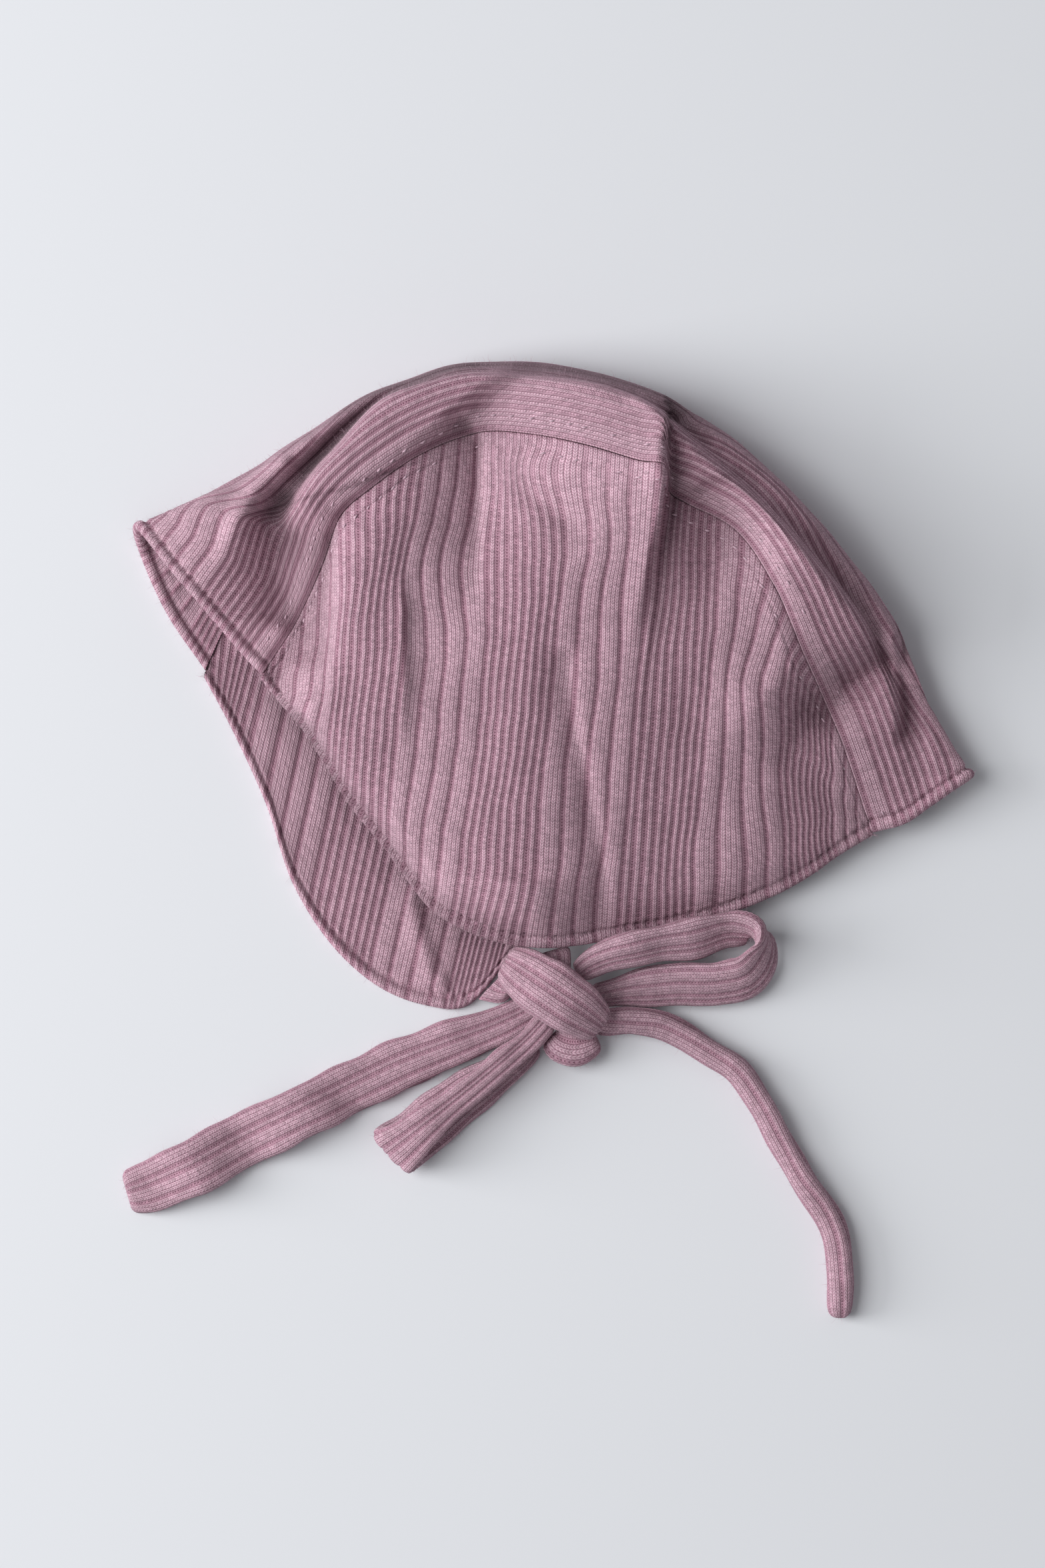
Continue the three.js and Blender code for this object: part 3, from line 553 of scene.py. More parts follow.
# %% [markdown]
# ## The ties
# A tie is a narrow strip of the same knit, sewn into a flat tube and turned. The strip is cut as a
# grid, rolled round its own middle line, and its two long edges are merged into the seam. A row of
# a table is a station on that line: its place, how far its left side is tilted up, in degrees, its
# width and its thickness. The two free ends come first, because they are cords of a known length.

# %% Middle line of a tie
TIE_STEP = 0.75
TIE_END = 1.5
TIE_END_STEPS = np.array([0, 0.12, 0.35, 0.7, 1.1])
AIM = 0.002


def tie_line(rows, across=None):
    """Even stations along a tie: centres, side and up directions, width, thickness, run."""
    table = np.array(rows, float)
    line = table[:, :3]
    fine = np.linspace(0, 1, 3001)
    run = run_along(through(line, fine))
    even = np.linspace(TIE_END, run[-1] - TIE_END, max(8, round(run[-1] / TIE_STEP)))
    at = np.concatenate([TIE_END_STEPS, even, run[-1] - TIE_END_STEPS[::-1]])
    shares = np.interp(at, run, fine)
    tilt, width, thick = through(table[:, 3:], shares).T
    forward = unit(through(line, shares + AIM) - through(line, shares - AIM))
    level = unit(np.stack([-forward[:, 1], forward[:, 0], np.zeros(len(at))], axis=1))
    if across:
        level = np.tile(across, (len(at), 1))
    tilt = np.radians(tilt)[:, None]
    side = level * np.cos(tilt) + np.array([0, 0, 1]) * np.sin(tilt)
    side = unit(side - forward * (side * forward).sum(axis=1, keepdims=True))
    return through(line, shares) + TABLE_SHIFT, side, np.cross(forward, side), width, thick, at


# %% [markdown]
# A curve with a bevel would be quicker, but its tube has no wales for the ribs and loops to follow.
# Round its middle line the tie is a flat ring with rounded sides. The ribs sink into it, and it is
# tossed a little, since a limp tie is never quite even. Both ends close to a thin rounded edge.

# %% Rolling a tie
TIE_ROUND = (0.62, 0.72)
TIE_RIB_DEPTH = 0.26
TIE_RIB_BULGE = 0.14
TIE_TOSS, TIE_TOSS_WAVE = 0.35, 11
END_THICK = 0.06
LOWEST = 0.02


def flat_ring(turn):
    """A ring with flattened sides, as shares of half the width and half the thickness."""
    c, s = np.cos(turn), np.sin(turn)
    return np.sign(c) * np.abs(c) ** TIE_ROUND[0], np.sign(s) * np.abs(s) ** TIE_ROUND[1]


def tie_wales(width, thick):
    """Wales round a tie, and the turn at which each lies."""
    turn = np.linspace(0, 2 * math.pi, 2001)
    ring_run = run_along(np.stack(flat_ring(turn), axis=1) * (width / 2, thick / 2))
    period = sum(TIE_REPEAT)
    count = max(1, round(ring_run[-1] / WALE / period)) * period
    wales = rib_columns(0, count, TIE_REPEAT)
    return wales, np.interp(wales / count * ring_run[-1], ring_run, turn)


def close_tube():
    """Merges the long edges of the rolled strip and fills its ends."""
    bpy.ops.object.mode_set(mode="EDIT")
    bpy.ops.mesh.select_all(action="SELECT")
    bpy.ops.mesh.remove_doubles(threshold=1e-7)
    bpy.ops.mesh.select_all(action="SELECT")
    bpy.ops.mesh.fill_holes(sides=0)
    bpy.ops.mesh.select_all(action="SELECT")
    bpy.ops.mesh.normals_make_consistent(inside=False)
    bpy.ops.object.mode_set(mode="OBJECT")


def roll_tie(name, rows, seed, across=None):
    """A tie as a closed tube of ribbed knit, and its middle line in metres."""
    centre, side, up, width, thick, at = tie_line(rows, across)
    wales, turns = tie_wales(width.max(), thick.max())
    flat, bulged = flat_ring(turns)
    end = np.clip(np.minimum(at, at[-1] - at) / TIE_END, 0, 1)
    closing = np.sqrt(np.clip(1 - (1 - end) ** 2, 0, 1))[:, None]
    half_width, half_thick = width[:, None] / 2, thick[:, None] / 2
    half_width = half_width - (1 - closing) * np.minimum(TIE_END, half_width * 0.9)
    half_thick = half_thick * (END_THICK + (1 - END_THICK) * closing)
    furrow = furrow_share(wales, TIE_REPEAT)
    ribs = -TIE_RIB_DEPTH * furrow + TIE_RIB_BULGE * rib_crown(wales, TIE_REPEAT)
    tossed = TIE_TOSS * ripple(at[:, None] + 0 * wales, wales * 0.5 + seed * 7, seed, TIE_TOSS_WAVE)
    relief = (ribs + tossed) * closing
    wide = flat * half_width + np.sign(flat) * np.abs(flat) ** 3 * relief
    high = bulged * (half_thick + relief)
    points = centre[:, None] + side[:, None] * wide[..., None] + up[:, None] * high[..., None]
    points[..., 2] = np.maximum(points[..., 2], LOWEST)
    points[:, -1] = points[:, 0]

    tie = cut_cloth(name, points, wales, at[:, None] / COURSE)
    close_tube()
    mark_ribs(tie, furrow[read_spots(tie) % len(wales)])
    tie.data.attributes.remove(tie.data.attributes["spot"])
    return tie, centre * MM


# %% The two free ends
#    x, y, z, tilt, width, thick
LEFT_TAIL = [
    (-3.6, -54.6, 2.4, 0, 6.8, 2.8),
    (-8, -56.9, 2.4, 0, 8, 3),
    (-14, -59.7, 2.6, 0, 9, 3.2),
    (-24, -63.5, 2.4, 0, 10.6, 3.4),
    (-35.5, -68, 1.8, 0, 11.8, 3.4),
    (-47.5, -73.8, 2, 0, 12, 3.4),
    (-59.5, -79.6, 5, 0, 12.2, 3.4),
    (-71.5, -85.6, 1.9, 0, 12.6, 3.4),
    (-83, -91.8, 4.8, 0, 13, 3.4),
    (-94, -96.6, 1.8, 0, 11.6, 3.2),
    (-98.4, -97.9, 1.6, 0, 9.6, 2.6),
]
RIGHT_TAIL = [
    (9, -58.2, 2.6, 8, 5.2, 2.6),
    (12.6, -58.6, 3.2, 24, 6.6, 3.2),
    (18, -58.2, 3.4, 30, 6.6, 4.4),
    (24, -58.8, 3.2, 26, 6.4, 4.8),
    (29.4, -61.4, 3, 20, 6.2, 5),
    (36, -65.4, 3, 16, 6, 5),
    (42.2, -69.8, 3, 16, 6, 5),
    (47.4, -77.2, 3, 16, 6, 5),
    (51.6, -85, 3, 16, 6, 5),
    (56, -93.4, 3, 16, 6, 5),
    (61.6, -101, 3, 16, 6.2, 5),
    (64.6, -108, 3, 16, 6.2, 5),
    (65.6, -116.5, 2.9, 14, 6, 4.8),
    (65.8, -123.5, 2.6, 10, 5.6, 4.4),
    (65.7, -126.4, 2.2, 6, 4.2, 3.4),
]
TAILS = {"tie_end_left": (LEFT_TAIL, 0.012), "tie_end_right": (RIGHT_TAIL, 0.0062)}
for tail_name, (tail_rows, tail_width) in TAILS.items():
    tail, tail_path = roll_tie(tail_name, tail_rows, seed=len(tail_rows))
    finish_piece(tail, tail_name.replace("end", "tail"), tie_knit)

# %% [markdown]
# ## The bow
# The two loops, the wrap of the knot, the turn of tie below it and the two roots that are sewn to the
# flaps are the same rolled strip. The left loop turns over at its tip, so its flat side keeps one
# direction all the way round.

# %% Knot, loops and roots
#    x, y, z, tilt, width, thick
BOW = {
    "tie_root_far": [
        (-13.2, -48.5, 1.7, 0, 14.6, 2.4),
        (-11.6, -50, 2.7, 0, 9.5, 2.8),
        (-9.6, -51, 3.9, 0, 5, 2.8),
    ],
    "tie_root_near": [
        (-0.2, -41.6, 7, 0, 7.6, 1.8),
        (0.4, -43.8, 6, 0, 6.2, 2),
        (0.2, -47, 5.3, 0, 6.4, 2.4),
        (0.2, -50, 5.2, 0, 6.4, 2.6),
    ],
    "bow_knot": [
        (-10.8, -44.4, 6.4, 0, 7.5, 3.4),
        (-9, -45.6, 8.4, 0, 10.2, 4.6),
        (-5.4, -48, 11, 0, 13.4, 5.8),
        (0.4, -52, 12.2, 0, 14, 7),
        (5.4, -55.4, 11, 0, 12.8, 6),
        (8.8, -57.8, 8.6, 0, 10, 4.6),
        (10.4, -59, 6.9, 0, 7, 3.4),
    ],
    "bow_wrap_lower": [
        (-0.6, -61.2, 3.3, 0, 5.2, 3.2),
        (1.2, -63, 3.8, 0, 8.6, 4.8),
        (4.6, -64, 3.8, 0, 9.4, 5.2),
        (8, -63.2, 3.4, 0, 7.2, 4.6),
        (10, -62.2, 3, 0, 4.2, 3),
    ],
    "bow_loop_right": [
        (5.4, -47, 5.9, 4, 5, 2.8),
        (8.2, -45, 7.2, 10, 6.8, 3),
        (12.4, -43, 8.4, 20, 7.9, 3.2),
        (19, -41.2, 9.3, 30, 9.4, 3.2),
        (31.5, -39, 8.8, 32, 10.8, 3.2),
        (41, -36.8, 7.8, 42, 11, 3.2),
        (45.8, -36.8, 7.4, 68, 11, 3.2),
        (48, -39.6, 7, 108, 11.2, 3.2),
        (47.2, -43.6, 6.6, 134, 11.6, 3.2),
        (43.8, -47.6, 6, 143, 11.6, 3.2),
        (37.6, -49.4, 5.4, 149, 11.4, 3.2),
        (29, -49.6, 4.7, 155, 10.6, 3.2),
        (20, -50.4, 3.9, 162, 9, 3.2),
        (12.8, -51.7, 2.8, 170, 6.2, 2.6),
        (8.6, -52.5, 2.2, 176, 4.8, 2.4),
    ],
    "bow_loop_left": [
        (-1.6, -57.6, 5.6, 0, 5.2, 2.6),
        (-6, -62.4, 6.4, 0, 5.8, 2.8),
        (-14, -69.4, 7.2, 0, 6.2, 3),
        (-22, -76, 7.4, 0, 6.8, 3),
        (-29.4, -82, 7.2, 0, 8.8, 3),
        (-34.4, -86.2, 6.6, 0, 11.6, 3),
        (-36.8, -88.1, 4.4, 0, 12.8, 3),
        (-34.8, -86.6, 2.1, 0, 12.8, 3),
        (-29.6, -82.4, 1.7, 0, 12.6, 3),
        (-22, -76.4, 1.6, 0, 11.6, 3),
        (-13.7, -70.5, 1.6, 0, 9.2, 3),
        (-7.2, -65.8, 1.6, 0, 6.6, 2.8),
        (-4.8, -63.2, 1.7, 0, 5.4, 2.6),
    ],
}
LEFT_LOOP_ACROSS = (0.66, -0.75, 0)
for bow_name, bow_rows in BOW.items():
    across = LEFT_LOOP_ACROSS if bow_name == "bow_loop_left" else None
    bow_piece, _ = roll_tie(bow_name + "_knit", bow_rows, seed=len(bow_name), across=across)
    finish_piece(bow_piece, bow_name, tie_knit)

# %% [markdown]
# ## Walls of cloth
# A panel is first laid as a smooth sheet. Solidify turns the sheet into a closed wall. Then each side
# gets its own relief along the sheet's normals: ribs outside, and what shows of them inside.

# %% Wall with relief on both sides
WALL = 1.6
NORMAL_BLUR = 3


def sheet_normals(points):
    normals = unit(np.cross(np.gradient(points, axis=1), np.gradient(points, axis=0)))
    for _ in range(NORMAL_BLUR):
        padded = np.pad(normals, ((1, 1), (1, 1), (0, 0)), mode="edge")
        beside = padded[:-2, 1:-1] + padded[2:, 1:-1] + padded[1:-1, :-2] + padded[1:-1, 2:]
        normals = unit(beside + 2 * normals)
    return normals


def make_wall(name, sheet, normals, wales, courses, outside, inside, furrow, hollow):
    """Closed wall from a sheet: outside and inside are the relief of its two sides."""
    sheet = sheet + TABLE_SHIFT
    cloth = cut_cloth(name, sheet, wales, courses)
    bpy.ops.object.modifier_add(type="SOLIDIFY")
    cloth.modifiers[-1].thickness = WALL * MM
    cloth.modifiers[-1].offset = -1
    bpy.ops.object.modifier_apply(modifier=cloth.modifiers[-1].name)
    spots = read_spots(cloth)
    at = np.empty(len(spots) * 3)
    cloth.data.vertices.foreach_get("co", at)
    base = sheet.reshape(-1, 3)[spots]
    outer = np.linalg.norm(at.reshape(-1, 3) / MM - base, axis=1) < WALL / 4
    rise_by = np.where(outer, outside.ravel()[spots], -WALL - inside.ravel()[spots])
    moved = base + normals.reshape(-1, 3)[spots] * rise_by[:, None]
    moved[:, 2] = np.maximum(moved[:, 2], 0)
    cloth.data.vertices.foreach_set("co", (moved * MM).ravel())
    mark_ribs(cloth, furrow.ravel()[spots])
    # hollow: shade painted into the colour here, or painted light where it is below 0
    mark(cloth, "hollow", hollow.ravel()[spots])
    cloth.data.attributes.remove(cloth.data.attributes["spot"])
    cloth.data.update()
    return cloth


# %% [markdown]
# Along its free edges the knit is turned in and stitched down. That leaves a roll, puckered by the
# stitches, with a groove behind it. At the crown seam the allowance lies doubled under a low strip
# that ends at its topstitch; the strip is lost towards the nape.

# %% Hems and seams
HEM_WIDTH = 2.7
HEM_ROLL = 0.85
HEM_EDGE = 0.5
PUCKER = 2.5
PUCKER_SLANT = 0.4
PUCKER_STRAY, PUCKER_STRAY_WAVE = 1.5, 17
STITCH_PITCH = 3.9
STITCH_STRAY, STITCH_STRAY_WAVE = 0.22, 23
STITCH_PLACE = 3.75
STRIP = 0.3
STRIP_WIDTH = (3.2, 0.7)
STRIP_ENDS_AT = (24, 12)
SEAM_EDGE, SEAM_EDGE_WIDTH = -0.14, 0.5
#    share of the ribs' depth at the edge, distance from which it grows, and over how far
HEM_CALM = (0.35, 2.2, 2.5)
SEAM_CALM = (0.5, 2.5, 2)
#    height, distance from the roll's end or from the seam, reach
HEM_DENT = (0.3, -0.5, 1.1)
HEM_GROOVE = (0.52, 0.3, 0.45)
HEM_PUFF = (0.14, 1.5, 0.9)
SEAM_GROOVE = (0.22, STITCH_PLACE, 0.5)
SEAM_PUFF = (0.16, 5.2, 1.2)


def drawn_in(phase):
    """1 where a stitch draws the cloth in, and 0 between stitches."""
    return (0.5 + 0.5 * np.cos(phase)) ** 2


def hem_roll(edge, along, seed):
    """Relief of a turned hem at a distance from its edge: a roll, and a groove at its stitches."""
    rounded = np.sqrt(np.clip(1 - (2 * edge / HEM_WIDTH - 1) ** 2, 0, 1))
    roll = np.where(edge < HEM_WIDTH, -HEM_EDGE * (1 - rounded) + HEM_ROLL * rounded, 0)
    roll = np.where(edge < HEM_WIDTH / 2, roll, np.maximum(roll, 0))
    stray = PUCKER_STRAY * ripple(along, 0 * along, seed, PUCKER_STRAY_WAVE)
    pull = drawn_in(2 * math.pi * (along + PUCKER_SLANT * edge) / PUCKER + stray)
    behind = edge - HEM_WIDTH
    dents = bell(behind, *HEM_DENT) * pull * smooth(edge / 0.6)
    groove = bell(behind, *HEM_GROOVE) * (0.45 + 1.1 * pull)
    return roll - dents - groove + bell(behind, *HEM_PUFF) * (1 - pull)


def stitch_phase(along, seed):
    """Turns of the topstitch along a seam: a stitch lies at each full turn."""
    return along / STITCH_PITCH + STITCH_STRAY * ripple(along, 0 * along, seed, STITCH_STRAY_WAVE)


def seam_strip(seam, along, seed, x):
    """Relief beside a seam: the strip over its allowance, and a groove at its stitches."""
    off_edge = smooth(seam / SEAM_EDGE_WIDTH)
    strip = STRIP * off_edge * (1 - rise(seam, *STRIP_WIDTH)) * (1 - rise(x, *STRIP_ENDS_AT))
    pull = drawn_in(2 * math.pi * stitch_phase(along, seed))
    groove = bell(seam, *SEAM_GROOVE) * (0.4 + 1.1 * pull)
    return strip + SEAM_EDGE * (1 - off_edge) - groove + bell(seam, *SEAM_PUFF) * (1 - pull)


def calm(away, left, start, over):
    """A share that is left at an edge and grows to 1 away from it."""
    return left + (1 - left) * rise(away, start, over)


# %% [markdown]
# ## Where the panels lie
# A simulated cloth would not come to rest in just this shape, so it is read from the picture instead.
# Each row of the upper panel's table is a rib line, from the crown seam over the middle to the hem.
# A row of the band's table is a cut across it: the crest of its inner ridge, the valley and the outer
# ridge as shares of the way out, the outline, and how far the cloth bellies out below it. The lower
# panel lies flat, so its rows need no heights.

# %% Tables of the panels
#    seam x, y, z,   mid x, y, z,   hem x, y, z
NEAR_ROWS = np.array([
    (-67, 21.4, 12, -67.2, 21, 11.9, -67.4, 20.6, 11.8),
    (-59, 34, 10.8, -60.5, 24, 11.8, -62, 14, 11.5),
    (-53, 47, 12.2, -54, 28, 15, -57.5, 9, 11.5),
    (-48.5, 58, 22.5, -49, 29.5, 22.9, -52, 0, 11),
    (-41.5, 64, 27.5, -43.5, 28.5, 25, -47.5, -7.5, 10.5),
    (-29.5, 72, 29.5, -34.5, 29.5, 25.3, -38.5, -19, 10),
    (-17, 76.5, 30.5, -20, 22, 25, -27, -33.5, 9.5),
    (-5, 76, 30, -6, 19, 26.5, -14, -39.6, 10),
    (7.5, 73.5, 29.5, 4.5, 17.5, 25.5, -1, -41.2, 10.4),
    (19.5, 70, 29, 15.5, 14, 24.5, 11, -39.8, 7.6),
    (25, 69, 30.2, 19.6, 14, 24.1, 15.6, -38.8, 7),
    (26.4, 62.8, 26.8, 21, 14, 23.7, 17.2, -38.6, 6.8),
    (30, 60.5, 26.4, 26.5, 14, 23, 24, -37.5, 6),
    (41, 54.5, 23.8, 38, 14, 21.6, 35, -35, 5.6),
    (50, 41.5, 21.5, 45, 11, 20, 45.5, -31.5, 5.6),
    (57, 25.5, 18.5, 54.5, 5, 16.5, 56, -26.5, 5.8),
    (64.5, 9.5, 14, 64, -4, 11.5, 65.5, -20, 6),
    (73, -14.9, 6.4, 73.1, -15.1, 6.3, 73.2, -15.3, 6.2),
])
NEAR_SEAM, NEAR_MID, NEAR_HEM = NEAR_ROWS[:, :3], NEAR_ROWS[:, 3:6], NEAR_ROWS[:, 6:]
PATTERN_START_ROW = 7.5
#    crest x, y, z,   valley share, z,   outer share, z,   edge x, y, z,   belly
BAND_ROWS = np.array([
    (-72, 26.6, 11.5, 0.26, 11.4, 0.62, 11.2, -96.75, 55.5, 6.4, 2.4),
    (-64, 41.5, 11.2, 0.24, 12.8, 0.56, 15, -90.5, 58.5, 7.4, 1.2),
    (-61, 51.5, 13, 0.24, 13.6, 0.55, 17.6, -84.5, 61, 8.4, 0.4),
    (-58.5, 59, 24, 0.26, 12.6, 0.6, 19.2, -76, 65, 9.2, 0),
    (-50, 70.5, 28.4, 0.3, 14.5, 0.68, 19.5, -62, 73.5, 9.4, 0),
    (-37, 84, 29.5, 0.36, 18.5, 0.74, 18, -41.5, 86, 9, 0),
    (-20, 88.5, 30, 0.4, 23, 0.76, 17, -21.5, 92.5, 9, 0),
    (-5, 88, 30.5, 0.4, 23, 0.76, 17, -4.5, 93, 9, 0),
    (9, 86.5, 30, 0.4, 22, 0.76, 17.5, 11.5, 90, 9, 0),
    (21, 82.5, 28, 0.36, 19, 0.76, 18, 26, 85, 9, 0),
    (24.5, 79.8, 28, 0.34, 18.5, 0.75, 18, 31, 81.8, 9, 0),
    (27, 77.4, 27.6, 0.36, 20.5, 0.76, 18.8, 34.2, 79.9, 9, 0),
    (34.5, 69.5, 27, 0.38, 20.8, 0.76, 19, 42.5, 74.5, 9, 0),
    (45.5, 60, 27.4, 0.34, 20.5, 0.75, 19.6, 53.5, 64, 9, 0),
    (58.5, 46.5, 26.6, 0.34, 18.5, 0.74, 18, 66.5, 49.5, 8.5, 0),
    (69, 33.5, 22.6, 0.36, 14.5, 0.74, 15, 77.5, 34.5, 7.5, 0),
    (76.5, 15, 13, 0.4, 9, 0.75, 10, 86.5, 14, 7, 0),
    (80.5, -12.8, 7.4, 0.35, 8, 0.7, 8.4, 96.25, -2, 6.6, 0),
])
#    seam x, y,   hem x, y
FAR_ROWS = np.array([
    (-80.4, 22.6, -80.6, 20.9),
    (-74.5, 35, -74.5, 9.5),
    (-66, 47, -66.5, -8),
    (-55.5, 59, -60, -27),
    (-44, 67, -50.5, -41.5),
    (-31, 73.5, -40, -50.5),
    (-17, 76.5, -29.5, -54.5),
    (-5, 77, -20.5, -54.8),
    (7.5, 75, -7, -41),
    (19.5, 70, 11, -36.5),
    (24, 67, 16, -35.3),
    (27, 64.5, 19.5, -34.5),
    (31, 61, 27, -33),
    (41.5, 50, 42.5, -28),
    (52, 37, 56, -21.5),
    (62, 21, 65.5, -17),
    (69.5, 6.5, 70.5, -15),
    (75.5, -8, 76, -12),
])
BAND_CREST = BAND_ROWS[:, :3]
print(len(NEAR_ROWS), "rib lines and", len(BAND_ROWS), "cuts across the band")

# %% [markdown]
# ## Folds
# A fold is a line in plan, whichever cloth lies there. It has a height and a reach on its forehead
# side and on its nape side, so it can be a ridge, a dent, or a step where one side stands over the
# other. The heights are read from the light: slopes that face the window on the left are bright.

# %% Table of folds
#    bend, which turns sharply at 1, and the width over which one side passes into the other
SOFT = (1.6, 1.8)
#    line from the crown down, height and reach on the forehead side and on the nape side, shares of
#    the line at which the fold is full and from which it fades, bend and passing width
FOLDS = {
    "crown pleat": ([(25.7, 74), (25.2, 60), (21.5, 42), (17, 22)], 1.6, 14, -4.6, 13, 0, 0.28, 1.6, 3),
    "crown crease": (
        [(-23, 83), (-19.4, 78.5), (-16.6, 74), (-16.8, 60), (-17, 46), (-16.5, 30)],
        -10, 17, -6.5, 19, 0.2, 0.6, 1.15, 2.4,
    ),
    "long crease": (
        [(3.8, 28.5), (3.05, 18.8), (7.3, -1), (11.3, -19.8), (12.2, -36)],
        -2.2, 5, -0.7, 1.8, 0.1, 1, 1.2, 3,
    ),
    "hollow beyond the pleat": ([(33, 66), (36, 57), (36, 45), (34, 32)], -3.4, 7, -3.4, 8, 0.1, 0.5, *SOFT),
    "wave beside the crown crease": ([(-34, 48), (-33.5, 25), (-34, 2)], 1, 9, -1, 9, 0.3, 0.6, *SOFT),
    "pucker below the seam": ([(-5.6, 62.3), (0, 58), (5.5, 53.9)], -1.3, 3, -1.1, 3.2, 0, 1, *SOFT),
    "front trough": (
        [(-57, 62), (-61.2, 57), (-64, 46), (-60.5, 35), (-62, 30)],
        -3.6, 8, -3.4, 5, 0.15, 0.75, *SOFT,
    ),
    "front ridge": (
        [(-60, 72), (-66, 67.6), (-69.8, 62.3), (-73.6, 53.9), (-81.2, 43.2)],
        2, 4.5, 2, 5, 0.1, 0.8, *SOFT,
    ),
    "cloth over the front hem": ([(-56.5, 27), (-56, 20), (-55.5, 14)], 2.4, 6, 2.4, 5, 0.3, 1, *SOFT),
    "front swell": ([(-49, 58), (-48, 46), (-47.6, 38), (-48.5, 28)], 1.8, 5, 1.8, 6, 0.1, 0.5, *SOFT),
    "front dimple": ([(-50.5, 53.5), (-48.5, 50)], -1.6, 3, -1.6, 3, 0, 1, *SOFT),
    "front hollow": ([(-73.6, 63.8), (-76.6, 54.7), (-80.2, 44.7)], -2.4, 4.5, -2.4, 4, 0, 0.7, *SOFT),
    "ridge rope": (
        [(19.5, 84.2), (25, 80.4), (28.7, 75.4), (34.8, 69), (47.3, 60.5), (61.2, 42), (68.4, 33)],
        2, 2, 2, 2, 0, 0.7, *SOFT,
    ),
    "nape swell": (
        [(51.5, 46), (53.5, 35), (54.5, 24), (49, 17.5), (43, 11.6), (34, 4)],
        4.2, 9, 4.2, 8, 0, 0.65, *SOFT,
    ),
    "hollow beside the swell": ([(57, 13), (55, 5), (51, -3)], -2.2, 5, -2.2, 6, 0, 0.5, *SOFT),
    "nape dent": ([(63, 13), (67.5, 17.5), (72, 22), (77, 28)], -5, 5, -5, 5.5, 0, 0.85, *SOFT),
    "dip under the ridge's nose": ([(67.5, 20), (71.5, 20.5), (75, 23)], -2.2, 3, -2.2, 3, 0, 1, *SOFT),
    "nape fold": ([(78.5, 30), (79, 22), (79.6, 14), (78.6, 4)], 1.8, 5, -3.8, 5.5, 0, 0.8, 1.2, 3),
    "gathers over the tie": ([(-5.5, -24), (-6, -31), (-7, -37)], 3.6, 12, 3.6, 8, 0.2, 1, *SOFT),
}
print(len(FOLDS), "folds")

# %% Height of the folds
def measure_fold(line, x, y):
    """How far each place is from a fold's line, on which side, and how far along."""
    away = np.full(x.shape, np.inf)
    side, along = np.ones(x.shape), np.zeros(x.shape)
    for i, ((ax, ay), (bx, by)) in enumerate(zip(line[:-1], line[1:])):
        share = np.clip(((x - ax) * (bx - ax) + (y - ay) * (by - ay)) / ((bx - ax) ** 2 + (by - ay) ** 2), 0, 1)
        dx, dy = x - ax - share * (bx - ax), y - ay - share * (by - ay)
        far = np.hypot(dx, dy)
        nearer = far < away
        away = np.where(nearer, far, away)
        side = np.where(nearer, np.where((bx - ax) * dy - (by - ay) * dx < 0, -1, 1), side)
        along = np.where(nearer, (i + share) / (len(line) - 1), along)
    return away, side, along


def fold_height(x, y):
    """Height that the folds add at a place in plan, on whichever cloth lies there."""
    height = np.zeros(x.shape)
    for line, front, front_reach, nape, nape_reach, full, fading, bend, step in FOLDS.values():
        away, side, along = measure_fold(line, x, y)
        over = smooth(0.5 + away * side / step)
        fade = 1 - smooth((along - fading) / (1.001 - fading)) if fading < 1 else 1
        fade = fade * smooth(along / full) if full > 0 else fade
        front_side = front * np.exp(-((away / front_reach) ** bend))
        height += fade * (front_side * (1 - over) + nape * np.exp(-((away / nape_reach) ** bend)) * over)
    return height


# %% [markdown]
# ## The upper side panel
# Rows of the mesh lie close together at the hem and the seam, where the relief is fine. The rib lines
# sway a little and bend at a few places, because the knit is soft, and the cloth swells above its hem.

# %% Rib lines of the upper panel
HEM_ROWS = np.array([0, 0.12, 0.35, 0.7, 1.1, 1.6, 2.1, 2.6, 3.05, 3.4, 3.75, 4.05, 4.4, 4.9, 5.5, 6.2])
SEAM_ROWS = np.array([0, 0.15, 0.4, 0.8, 1.4, 2.1, 2.8, 3.3, 3.65, 3.95, 4.3, 4.8, 5.5, 6.2])
EDGE_SHARE = 0.3
NEAR_SEAM_GAP = 0.2
NEAR_INNER_ROWS = 84
#    size, seed, wave, sharpness of its end at the hem and the seam
SWAYS = [(0.55, 3, 30, 6), (0.07, 13, 8, 9)]


def edge_steps(length, first, last, between):
    """Distances down a cloth: close together at both of its edges."""
    start = np.minimum(1, length * EDGE_SHARE / first[-1])[:, None] * first
    end = np.minimum(1, length * EDGE_SHARE / last[-1])[:, None] * last
    share = np.linspace(0, 1, between + 2)[1:-1]
    inner = start[:, -1:] + (length[:, None] - end[:, -1:] - start[:, -1:]) * share
    return np.concatenate([start, inner, length[:, None] - end[:, ::-1]], axis=1)


fine_shares = np.linspace(0, 1, 3001)
mid_run = run_along(through(NEAR_MID, fine_shares))
mid_start = np.interp(PATTERN_START_ROW / (len(NEAR_ROWS) - 1), fine_shares, mid_run)
near_wales = rib_columns(-mid_start / WALE, (mid_run[-1] - mid_start) / WALE, REPEAT)
near_shares = np.interp(near_wales * WALE + mid_start, mid_run, fine_shares)
near_length = np.linalg.norm(through(NEAR_SEAM, near_shares) - through(NEAR_HEM, near_shares), axis=1)
down = 1 - edge_steps(near_length - NEAR_SEAM_GAP, HEM_ROWS, SEAM_ROWS, NEAR_INNER_ROWS).T / near_length
sway = np.zeros_like(down)
for sway_size, sway_seed, sway_wave, sharp in SWAYS:
    sway += sway_size * ripple(near_shares * 160, down * 100, sway_seed, sway_wave) * within(down, sharp)
swayed = np.clip(near_shares + sway * within(near_shares, 12) / mid_run[-1], 0, 1)
print("upper panel of", *down.shape, "rows and columns")

